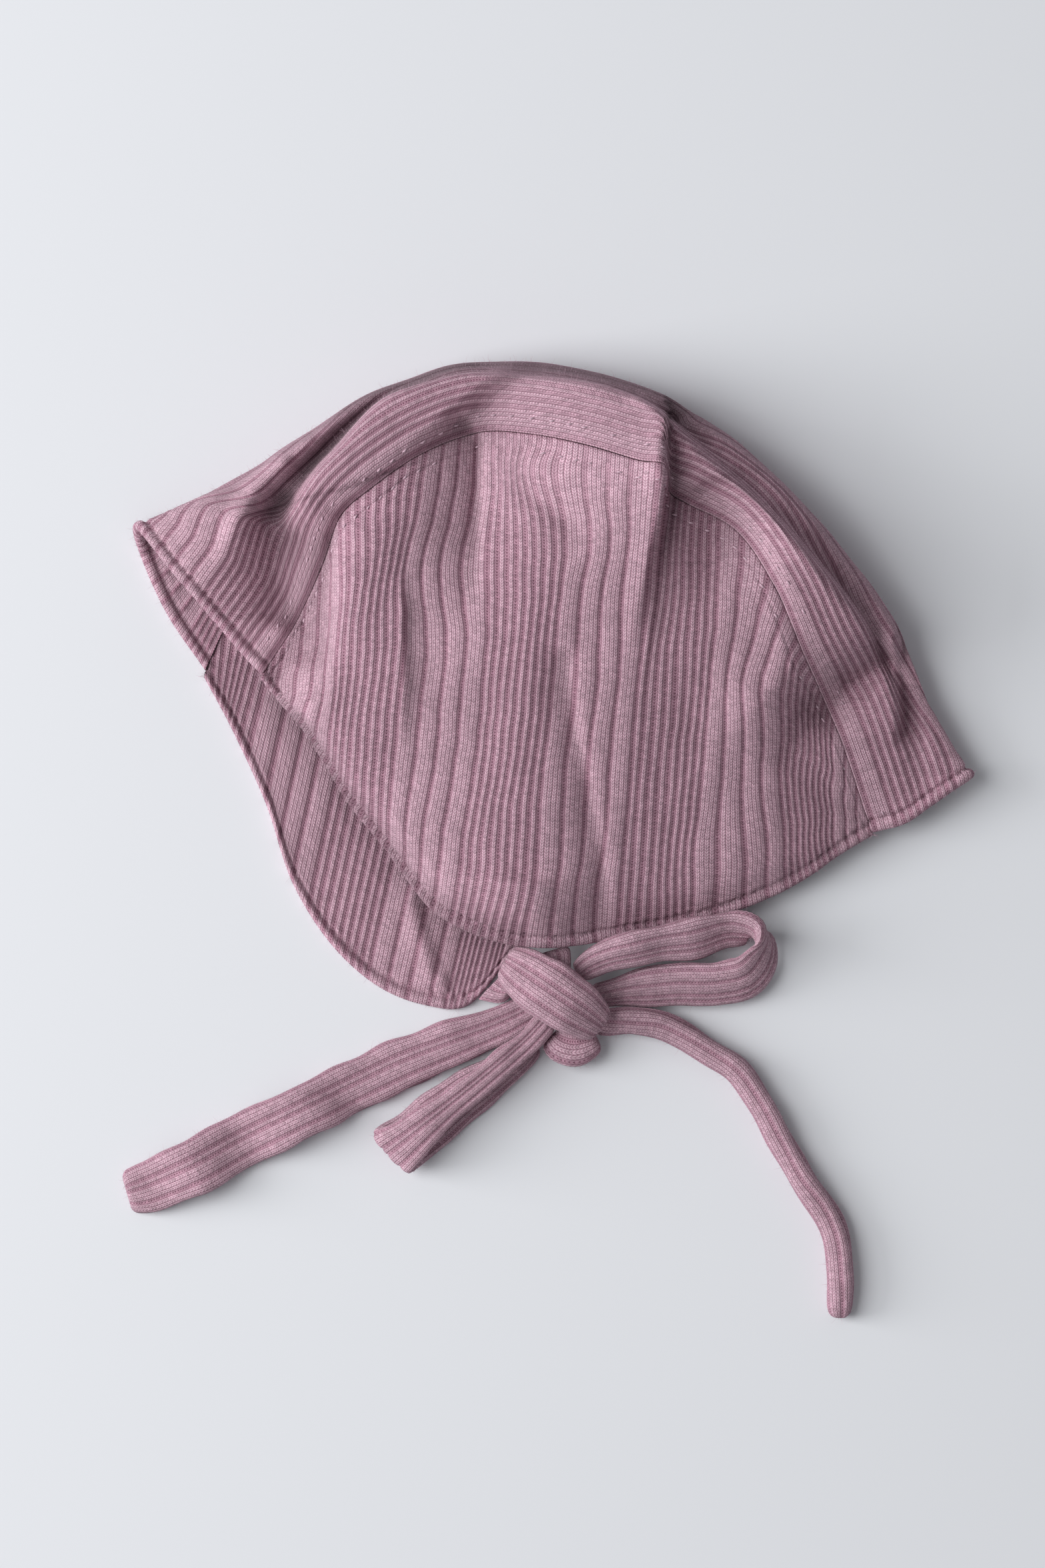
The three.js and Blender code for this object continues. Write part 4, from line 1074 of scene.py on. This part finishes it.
# %% Sheet of the upper panel
HEM_SWELL = 2.2
FRONT_SWELL, FRONT_ENDS_AT = 0.8, (0.35, 0.2)
SWELL_TOP, SWELL_FADE = 0.09, 0.4
HEM_STILL, SEAM_STILL = 0.1, 0.06
#    x, y, reach, shift along x of the rib lines
BENDS = [
    (-3, 67, 7, -2.2),
    (9, 52, 9, 1.6),
    (-24, 44, 10, -1.4),
    (34, 36, 9, 1.3),
    (47, 20, 8, -1.6),
]


def near_point(shares, down):
    """Place of the upper panel, at shares along it and down it."""
    weights = (1 - down) * (1 - 2 * down), 4 * down * (1 - down), down * (2 * down - 1)
    point = np.zeros(shares.shape + (3,))
    for weight, column in zip(weights, (NEAR_SEAM, NEAR_MID, NEAR_HEM)):
        point += weight[..., None] * through(column, shares.ravel()).reshape(point.shape)
    above_hem = 1 - down
    still = smooth(above_hem / HEM_STILL)
    for x, y, reach, shift in BENDS:
        away = np.hypot(point[..., 0] - x, point[..., 1] - y)
        point[..., 0] += bell(away, shift, 0, reach) * still * smooth(down / SEAM_STILL)
    fullness = HEM_SWELL * smooth(above_hem / SWELL_TOP) * (1 - rise(above_hem, SWELL_TOP, SWELL_FADE))
    fullness *= smooth(shares * 7) * smooth((1 - shares) * 5)
    fullness *= 1 + FRONT_SWELL * (1 - rise(shares, *FRONT_ENDS_AT))
    point[..., 2] += fullness + fold_height(point[..., 0], point[..., 1]) * still
    return point


near_sheet = near_point(swayed, down)
print("upper panel up to", round(near_sheet[..., 2].max(), 1), "mm high")

# %% [markdown]
# On the crown the knit is pulled tight, so its ribs are flatter there, and light is painted onto it
# further on. Along the crown seam both cloths take the same direction for up, so that they meet edge to edge.

# %% Relief of the upper panel
NEAR_SEEDS = {"hem": 5, "seam": 6, "cloth": 8}
CROWN_X, CROWN_HALF, CROWN_LOW = 4, 17, 42
CROWN_LOSS = 0.55
UNEVEN, UNEVEN_WAVE = 0.16, 13
INSIDE_SHARE = 0.45
NEAR_LEAN = 8
SEAM_AIM, SEAM_BESIDE = 0.004, 0.08


def pulled(sheet):
    """1 on the crown, where the knit is pulled tight and light is painted on, and 0 elsewhere."""
    return (1 - rise(np.abs(sheet[..., 0] - CROWN_X), CROWN_HALF, 6)) * rise(sheet[..., 1], CROWN_LOW, 30)


def rib_furrows(sheet, wales):
    """Furrows of a panel, less deep where the knit is pulled tight."""
    return furrow_share(wales, REPEAT) * (1 - CROWN_LOSS * pulled(sheet))


def unevenness(sheet, seed):
    return UNEVEN * ripple(sheet[..., 0], sheet[..., 1], seed, UNEVEN_WAVE)


def seam_up(shares):
    """Direction across the crown seam that both cloths share."""
    along = through(NEAR_SEAM, shares + SEAM_AIM) - through(NEAR_SEAM, shares - SEAM_AIM)
    across = through(BAND_CREST, shares) - near_point(shares, np.full(shares.shape, SEAM_BESIDE))
    up = unit(np.cross(along, across))
    return np.where(up[:, 2:] < 0, -up, up)


def lean_to(normals, towards, share):
    """Normals that turn towards another direction by a share."""
    return unit(normals + (towards - normals) * share[..., None])


from_hem = run_along(near_sheet)
from_seam = from_hem[-1] - from_hem
hem_run, seam_run = run_along(near_sheet[0]), run_along(near_sheet[-1])
near_furrow = rib_furrows(near_sheet, near_wales)
near_hems = hem_roll(from_hem, hem_run[None, :], NEAR_SEEDS["hem"])
near_calm = calm(from_hem, *HEM_CALM) * calm(from_seam, *SEAM_CALM)
near_outside = rib_relief(near_furrow, near_wales) * near_calm + near_hems
near_outside += seam_strip(from_seam, seam_run[None, :], NEAR_SEEDS["seam"], near_sheet[..., 0])
near_outside += unevenness(near_sheet, NEAR_SEEDS["cloth"])
near_inside = INSIDE_SHARE * RIB_DEPTH * near_furrow + np.maximum(near_hems, -HEM_EDGE)
near_courses = (from_hem - from_hem[len(from_hem) // 2]) / COURSE
near_up = lean_to(sheet_normals(near_sheet), seam_up(near_shares)[None], 1 - smooth(from_seam / NEAR_LEAN))
print("relief of the upper panel from", round(near_outside.min(), 2), "to", round(near_outside.max(), 2), "mm")

# %% [markdown]
# ## The crown band
# The ribs of the band run along it, from forehead to nape. A cut across it starts at the upper seam,
# climbs the inner ridge, dips into the valley, passes the outer ridge and the outline, and goes under
# the bonnet to the lower seam.

# %% Cuts across the band
BAND_INNER_CUTS = 232
TURN_IN = 0.35
BELLY_AT = 0.6
UNDER_BELLY = 0.7


def flat_line(columns):
    return np.pad(columns, ((0, 0), (0, 1)))


crest_run = run_along(through(BAND_CREST, fine_shares))
band_at = edge_steps(crest_run[-1:], HEM_ROWS, HEM_ROWS, BAND_INNER_CUTS)[0]
band_shares = np.interp(band_at, crest_run, fine_shares)[::-1]
crest = through(BAND_CREST, band_shares)
edge = through(BAND_ROWS[:, 7:10], band_shares)
far = through(flat_line(FAR_ROWS[:, :2]), band_shares)
belly = through(BAND_ROWS[:, 10:], band_shares)[:, 0]


def on_the_way_out(columns):
    """Points between crest and outline, from a column of shares and one of heights."""
    place = through(columns, band_shares)
    point = crest + (edge - crest) * place[:, :1]
    point[:, 2] = place[:, 1]
    return point


turn_in = np.minimum(TURN_IN, edge[:, 2] / np.linalg.norm(far - edge, axis=1))
under = edge + (far - edge) * turn_in[:, None]
below = edge + (far - edge) * BELLY_AT
under[:, 0] -= UNDER_BELLY * belly
below[:, 0] -= belly
under[:, 2] = below[:, 2] = 0
valley, outer_ridge = on_the_way_out(BAND_ROWS[:, 3:5]), on_the_way_out(BAND_ROWS[:, 5:7])
stations = np.stack([through(NEAR_SEAM, band_shares), crest, valley, outer_ridge, edge, under, below, far])
print("band of", len(band_shares), "cuts through", len(stations), "stations")

# %% [markdown]
# Columns keep the true rib width on the part that shows; the cloth below takes what is left.

# %% Sheet of the band
BAND_SHOWN = 40
BAND_WIDTH = 86
BAND_PHASE = 14.0
MOST_SHOWN = 0.86
TOP_ENDS_AT = (3.3, 0.6)

cut_shares = np.linspace(0, 1, 1401)
cuts = through(stations, cut_shares)
cut_run = run_along(cuts)
band_wales = rib_columns(BAND_PHASE, BAND_PHASE + BAND_WIDTH / WALE, REPEAT)
cloth_at = (band_wales - BAND_PHASE) * WALE
shown = cloth_at <= BAND_SHOWN
last_shown = cloth_at[shown][-1]
band_sheet = np.empty((len(band_shares), len(cloth_at), 3))
on_top, spread = np.empty(band_sheet.shape[:2]), np.empty(band_sheet.shape[:2])
for i, run in enumerate(cut_run.T):
    squeeze = min(1, MOST_SHOWN * run[-1] / BAND_SHOWN)
    rest = (run[-1] - last_shown * squeeze) / (cloth_at[-1] - last_shown)
    at = np.where(shown, cloth_at * squeeze, last_shown * squeeze + (cloth_at - last_shown) * rest)
    spread[i] = np.where(shown, squeeze, rest)
    for axis in range(3):
        band_sheet[i, :, axis] = np.interp(at, run, cuts[:, i, axis])
    on_top[i] = 1 - rise(np.interp(at, run, cut_shares) * (len(stations) - 1), *TOP_ENDS_AT)
band_sheet[..., 2] += fold_height(band_sheet[..., 0], band_sheet[..., 1]) * on_top
band_sheet[..., 2] = np.maximum(band_sheet[..., 2], 0)
print("band up to", round(band_sheet[..., 2].max(), 1), "mm high")

# %% Relief of the band
BAND_SEEDS = {"front": 15, "nape": 16, "seam": 17, "cloth": 18}
INNER_RIDGE = 0.55
BAND_LEAN = 6
LIFT = 3
RIBS_FROM_SPREAD = (0.45, 0.4)

along_band = run_along(band_sheet)
from_front = along_band[-1] - along_band
across_band = run_along(band_sheet, axis=1)
band_furrow = rib_furrows(band_sheet, band_wales)
lifted = smooth(band_sheet[..., 2] / LIFT)
band_calm = calm(np.minimum(along_band, from_front), *HEM_CALM) * calm(across_band, *SEAM_CALM)
band_calm *= rise(spread, *RIBS_FROM_SPREAD)
band_hems = hem_roll(from_front, across_band, BAND_SEEDS["front"])
band_hems += hem_roll(along_band, across_band, BAND_SEEDS["nape"])
band_outside = rib_relief(band_furrow, band_wales) * band_calm + band_hems
band_outside = (band_outside + unevenness(band_sheet, BAND_SEEDS["cloth"])) * lifted
band_outside += seam_strip(across_band, along_band[:, :1], BAND_SEEDS["seam"], band_sheet[..., 0])
band_inside = INNER_RIDGE * band_furrow * band_calm + np.maximum(band_hems, -HEM_EDGE)
band_up = lean_to(sheet_normals(band_sheet), seam_up(band_shares)[:, None], 1 - smooth(across_band / BAND_LEAN))
print("relief of the band from", round(band_outside.min(), 2), "to", round(band_outside.max(), 2), "mm")

# %% [markdown]
# ## Painted shade in the folds
# Deep folds of a soft knit hold less light than their outer shape gives away, so shade is painted into
# them. A plan of both cloths, one cell a millimetre and a half, holds their heights. Where a spot lies
# below the mean height round about, it is marked, and the material paints shade into its colour there.

# %% Plan of heights
CELL = 1.5
FOLD_SHADE_REACH = 3
PLAN_START = np.array([-105.0, -65.0])
PLAN_CELLS = (115, 140)
# painted shade grows over this depth below the mean, up to the deepest share
HOLLOW_DEPTH = 6
DEEPEST = 1.3


def spread_out(plan):
    """Sums over a square round each cell, three times over, which comes close to a soft round brush."""
    for _ in range(3):
        for axis in (0, 1):
            plan = sum(np.roll(plan, step, axis) for step in range(-FOLD_SHADE_REACH, FOLD_SHADE_REACH + 1))
    return plan


top_points = np.concatenate([near_sheet.reshape(-1, 3), band_sheet[on_top > 0.5]])
cells = np.rint((top_points[:, :2] - PLAN_START) / CELL).astype(int)
plan = np.zeros(PLAN_CELLS)
np.maximum.at(plan, (cells[:, 1], cells[:, 0]), top_points[:, 2])
covered = spread_out((plan > 0).astype(float))
mean_height = spread_out(plan) / np.maximum(covered, 1e-6)


def fold_shade_share(sheet):
    """How far a cloth lies below the mean height around it, as a share of the hollows' depth: its painted shade."""
    at = (sheet[..., :2] - PLAN_START) / CELL
    low = np.floor(at).astype(int)
    x, y = low[..., 0], low[..., 1]
    right, up = (at - low)[..., 0], (at - low)[..., 1]
    mean = (mean_height[y, x] * (1 - right) + mean_height[y, x + 1] * right) * (1 - up)
    mean = mean + (mean_height[y + 1, x] * (1 - right) + mean_height[y + 1, x + 1] * right) * up
    return np.clip((mean - sheet[..., 2]) / HOLLOW_DEPTH, 0, DEEPEST)


print("mean height up to", round(mean_height.max(), 1), "mm")

# %% [markdown]
# Light is painted onto the pulled crown of both cloths. On the nape half of the band the valley is
# open to the light, so less shade is painted into it there.

# %% Walls of the upper panel and the band
CROWN_PAINTED_LIGHT = 0.48
BAND_PAINTED_LIGHT = 0.8
OPEN_VALLEY = 0.75
OPEN_FROM = (26, 14)

# painted shade of the folds, less the light painted onto the crown
near_painted_shade_and_light = fold_shade_share(near_sheet) - CROWN_PAINTED_LIGHT * pulled(near_sheet)
near_panel = make_wall(
    "upper_side_panel", near_sheet, near_up, near_wales, near_courses, near_outside, near_inside,
    near_furrow, near_painted_shade_and_light,
)
finish_piece(near_panel, "side_panel_near", panel_knit)

band_painted_shade_and_light = fold_shade_share(band_sheet) * (1 - OPEN_VALLEY * rise(band_sheet[..., 0], *OPEN_FROM))
band_painted_shade_and_light = (band_painted_shade_and_light - BAND_PAINTED_LIGHT * CROWN_PAINTED_LIGHT * pulled(band_sheet)) * on_top
crown_band = make_wall(
    "crown_band_knit", band_sheet, band_up, band_wales, along_band / COURSE, band_outside, band_inside,
    band_furrow, band_painted_shade_and_light,
)
finish_piece(crown_band, "crown_band", panel_knit)

# %% [markdown]
# ## The lower side panel
# This panel lies flat on the surface, and its inside shows at the front opening. A rib knit looks
# much the same from both sides, so the inside gets the same ribs as the outside. They lean a little
# across the flap, as in the picture.

# %% Lay the lower panel
FAR_WALE_START = 20
FAR_LEAN = 7.0
FAR_SEAM_GAP = 0.45
FAR_INNER_ROWS = 76

far_mid = (FAR_ROWS[:, :2] + FAR_ROWS[:, 2:]) / 2
far_run = run_along(through(flat_line(far_mid), fine_shares))
far_wales = rib_columns(FAR_WALE_START, FAR_WALE_START + far_run[-1] / WALE, REPEAT)
far_shares = np.interp((far_wales - FAR_WALE_START) * WALE, far_run, fine_shares)
lean = FAR_LEAN / far_run[-1] * within(far_shares, 8)
far_seam = through(flat_line(FAR_ROWS[:, :2]), far_shares + lean)
far_hem = through(flat_line(FAR_ROWS[:, 2:]), far_shares - lean)
far_seam = far_seam + unit(far_hem - far_seam) * FAR_SEAM_GAP
far_length = np.linalg.norm(far_seam - far_hem, axis=1)
far_down = edge_steps(far_length, SEAM_ROWS[::3], HEM_ROWS, FAR_INNER_ROWS).T / far_length
far_sheet = far_seam + (far_hem - far_seam) * far_down[..., None]
far_from_hem = (1 - far_down) * far_length
print("lower panel of", *far_down.shape, "rows and columns")

# %% [markdown]
# A small fold crosses the flap above its tie. The strip below the upper hem gets little light, so
# shade is painted into it. The rest of the inside looks lighter in the picture than the outside, and its
# mark is moved the other way.

# %% Relief and wall of the lower panel
FAR_SEEDS = {"hem": 25, "cloth": 27}
FAR_CALM = (0.35, 1, 4)
FAR_SHADE_REACH = 9
FAR_MOST_SHADE = 0.75
INSIDE_LIGHT = 0.22
FAR_UNEVEN, FAR_UNEVEN_WAVE = 0.2, 15
FAR_FOLD = [(-30.5, -30), (-28.6, -38), (-26, -46)]
#    height, distance from the line, reach
FOLD_RIDGE = (1.3, -2.4, 2.6)
FOLD_CREASE = (-0.5, 0, 1.4)
FRONT_HEM = [tuple(place) for place in NEAR_HEM[:9, :2]]

far_x, far_y = far_sheet[..., 0], far_sheet[..., 1]
far_furrow = furrow_share(far_wales, REPEAT) * np.ones_like(far_down)
far_inside = rib_relief(far_furrow, far_wales) * calm(far_from_hem, *FAR_CALM)
far_inside += hem_roll(far_from_hem, run_along(far_hem)[None, :], FAR_SEEDS["hem"])
far_inside += FAR_UNEVEN * ripple(far_x, far_y, FAR_SEEDS["cloth"], FAR_UNEVEN_WAVE)
fold_away, fold_side, _ = measure_fold(FAR_FOLD, far_x, far_y)
far_inside += bell(fold_away * fold_side, *FOLD_RIDGE) + bell(fold_away, *FOLD_CREASE)
under_hem, _, _ = measure_fold(FRONT_HEM, far_x, far_y)
# shade painted below the upper hem, less the lighter tone of the inside
far_painted_shade_and_tone = FAR_MOST_SHADE * np.exp(-under_hem / FAR_SHADE_REACH) - INSIDE_LIGHT
far_panel = make_wall(
    "lower_side_panel", far_sheet, sheet_normals(far_sheet), far_wales, far_from_hem / COURSE,
    np.zeros_like(far_inside), far_inside, far_furrow, far_painted_shade_and_tone,
)
finish_piece(far_panel, "side_panel_far", panel_knit)

# %% [markdown]
# ## Topstitches
# A light thread holds the seam allowance down on both sides of the crown seam, in short slanted
# stitches. One stitch is modelled from a ball, drawn out long, with its ends bent down into the
# knit. The others are copies of it, set where the relief of the cloth is pulled in.

# %% One stitch
STITCH_SIZE = (1.5, 0.46, 0.4)
STITCH_DIP = 0.34
STITCH_SLANT = math.radians(14)

bpy.ops.mesh.primitive_uv_sphere_add(segments=10, ring_count=8, radius=0.5)
stitch = bpy.context.object
bpy.ops.transform.rotate(value=math.pi / 2, orient_axis="Y", center_override=(0, 0, 0))
bpy.ops.object.transform_apply(location=True, rotation=True, scale=True)
stitch_shape = np.array([v.co for v in stitch.data.vertices]) * STITCH_SIZE
stitch_shape[:, 2] -= STITCH_DIP * (stitch_shape[:, 0] * 2 / STITCH_SIZE[0]) ** 2
stitch_faces = [tuple(face.vertices) for face in stitch.data.polygons]
bpy.ops.object.delete()
print("one stitch has", len(stitch_faces), "faces")

# %% Where stitches lie
def on_cloth(grid, row, column):
    """Value of a grid between its rows and columns."""
    i, j = min(int(row), grid.shape[0] - 2), min(int(column), grid.shape[1] - 2)
    a, b = row - i, column - j
    upper = grid[i, j] * (1 - b) + grid[i, j + 1] * b
    lower = grid[i + 1, j] * (1 - b) + grid[i + 1, j + 1] * b
    return upper * (1 - a) + lower * a


def stitch_places(run, seed):
    """Counts of columns, or of rows, at which a seam with these run lengths has a stitch."""
    fine_run = np.linspace(run[0], run[-1], 4000)
    turns = stitch_phase(fine_run, seed)
    at = np.interp(np.arange(math.ceil(turns[0]) + 1, math.floor(turns[-1])), turns, fine_run)
    return np.interp(at, run, np.arange(len(run)))


def stitch_frames(sheet, up, outside, beside, run, seed):
    """Place, direction ahead and direction up of each stitch; beside is the distance from the seam."""
    outer = sheet + up * outside[..., None] + TABLE_SHIFT
    spots = []
    for column in stitch_places(run, seed):
        away = beside[:, round(column)]
        row = np.interp(STITCH_PLACE, away, np.arange(len(away)))
        ahead = on_cloth(outer, row, column + 1) - on_cloth(outer, row, column - 1)
        spots.append((on_cloth(outer, row, column), ahead, on_cloth(up, row, column)))
    return spots


near_grids = (grid[::-1] for grid in (near_sheet, near_up, near_outside, from_seam))
stitch_spots = stitch_frames(*near_grids, seam_run, NEAR_SEEDS["seam"])
band_grids = (grid.swapaxes(0, 1) for grid in (band_sheet, band_up, band_outside, across_band))
stitch_spots += stitch_frames(*band_grids, along_band[:, 0], BAND_SEEDS["seam"])
print(len(stitch_spots), "places for a stitch")

# %% [markdown]
# Some stitches have sunk into the knit, most of them towards the nape. Which ones is left to chance.

# %% Copies of the stitch
STITCH_LIFT = 0.24
STITCHES_SHOWN = 0.8
LOST_AT_NAPE = 0.5
NAPE_FROM = (40, 20)


def join_mesh(name, points, faces, material):
    """One mesh of many small things, finished as a piece of its own."""
    mesh = bpy.data.meshes.new(name)
    mesh.from_pydata((points * MM).tolist(), [], faces)
    joined = bpy.data.objects.new(name, mesh)
    bpy.context.collection.objects.link(joined)
    finish_piece(joined, None, material)


chance = np.random.RandomState(29)
slant_cos, slant_sin = math.cos(STITCH_SLANT), math.sin(STITCH_SLANT)
stitch_points = []
for place, ahead, up in stitch_spots:
    if chance.uniform() > STITCHES_SHOWN - LOST_AT_NAPE * rise(place[0], *NAPE_FROM):
        continue
    up = unit(up)
    ahead = unit(ahead - up * (ahead @ up))
    aside = np.cross(up, ahead)
    turned = np.stack([ahead * slant_cos + aside * slant_sin, aside * slant_cos - ahead * slant_sin, up])
    stitch_points.append(place + stitch_shape @ turned + up * STITCH_LIFT)
starts = np.arange(len(stitch_points)) * len(stitch_shape)
all_faces = [tuple(int(start) + corner for corner in face) for start in starts for face in stitch_faces]
print(len(stitch_points), "stitches show")

# %% Thread of the topstitches
THREAD_DEEP = (0.42, 0.26, 0.33, 1)
THREAD_LIGHT = (0.68, 0.49, 0.57, 1)

thread, thread_finish = plain_material("topstitch_thread", 0.8)
thread_finish.inputs["Sheen Weight"].default_value = 0.3
thread_tree = thread.node_tree
thread_place = thread_tree.nodes.new("ShaderNodeTexCoord").outputs["Object"]
thread_tone = blend_colours(thread_tree, noise(thread_tree, thread_place, 900, 2, 0.5), THREAD_DEEP, THREAD_LIGHT)
thread_tree.links.new(thread_tone, thread_finish.inputs["Base Color"])
join_mesh("topstitches", np.concatenate(stitch_points), all_faces, thread)

# %% [markdown]
# ## Fuzz
# Worn cotton sheds fine hairs. They show most along the outline, where they stand against the pale
# surface. Each hair is a thin three-sided tube that starts on a vertex of a piece and curls as it
# leaves the cloth. All of them are one mesh, so that they stay with the finished bonnet.

# %% Roots and lines of the hairs
HAIRS = 9000
HAIR_POINTS = 4
HAIR_LENGTH = (0.4, 1.3)
HAIR_UNEVEN = 1.3
HAIR_AWAY, HAIR_DRIFT, HAIR_CURL = 0.75, 0.65, 0.5
HAIR_LOWEST = 0.06
HAIR_FACING, HAIR_ANYWHERE = -0.3, 0.15

chance = np.random.RandomState(41)
root_points, root_normals = [], []
for piece in bpy.data.objects:
    if piece.type == "MESH" and {panel_knit.name, tie_knit.name} & set(piece.data.materials.keys()):
        piece_points, piece_normals = np.empty((2, len(piece.data.vertices) * 3))
        piece.data.vertices.foreach_get("co", piece_points)
        piece.data.vertex_normals.foreach_get("vector", piece_normals)
        root_points.append(piece_points.reshape(-1, 3) / MM)
        root_normals.append(piece_normals.reshape(-1, 3))
root_points, root_normals = np.concatenate(root_points), np.concatenate(root_normals)
level = root_normals[:, 2]
likely = np.where(level > HAIR_FACING, HAIR_ANYWHERE + (1 - np.abs(level)) ** 2, 0)
chosen = chance.choice(len(root_points), HAIRS, replace=False, p=likely / likely.sum())
lengths = chance.uniform(*HAIR_LENGTH, (HAIRS, 1)) ** HAIR_UNEVEN
drift = unit(chance.normal(size=(HAIRS, 3)))
curl = unit(chance.normal(size=(HAIRS, 3)))
steps = np.linspace(0, 1, HAIR_POINTS)[:, None, None]
leaving = root_normals[chosen] * HAIR_AWAY + drift * HAIR_DRIFT
hair_lines = root_points[chosen] + lengths * (steps * leaving + steps**2 * curl * HAIR_CURL)
hair_lines[..., 2] = np.maximum(hair_lines[..., 2], HAIR_LOWEST)
print(HAIRS, "hairs on", len(root_points), "vertices")

# %% Tubes of the hairs
HAIR_RADIUS = 0.024
HAIR_TAPER = 0.6
HAIR_TWIST = 0.3
HAIR_COLOUR = (0.62, 0.42, 0.5, 1)

forward = unit(np.gradient(hair_lines, axis=0))
sideways = unit(np.cross(forward, drift + curl * HAIR_TWIST))
upwards = np.cross(forward, sideways)
turns = (np.arange(3) * 2 * math.pi / 3)[:, None]
ring = sideways[:, :, None] * np.cos(turns) + upwards[:, :, None] * np.sin(turns)
rings = hair_lines[:, :, None] + HAIR_RADIUS * (1 - HAIR_TAPER * steps[..., None]) * ring
hair_points = rings.transpose(1, 0, 2, 3).reshape(-1, 3)
sides = [(0, 1), (1, 2), (2, 0)]
one_hair = [(3 * k + a, 3 * k + b, 3 * k + 3 + b, 3 * k + 3 + a) for k in range(HAIR_POINTS - 1) for a, b in sides]
starts = np.arange(HAIRS) * HAIR_POINTS * 3
hair_faces = (starts[:, None, None] + np.array(one_hair)).reshape(-1, 4).tolist()
hair_faces += (starts[:, None] + np.array([2, 1, 0])).tolist()
hair_faces += (starts[:, None] + HAIR_POINTS * 3 - np.array([3, 2, 1])).tolist()
join_mesh("fuzz", hair_points, hair_faces, plain_material("loose_hairs", 0.8, HAIR_COLOUR)[0])
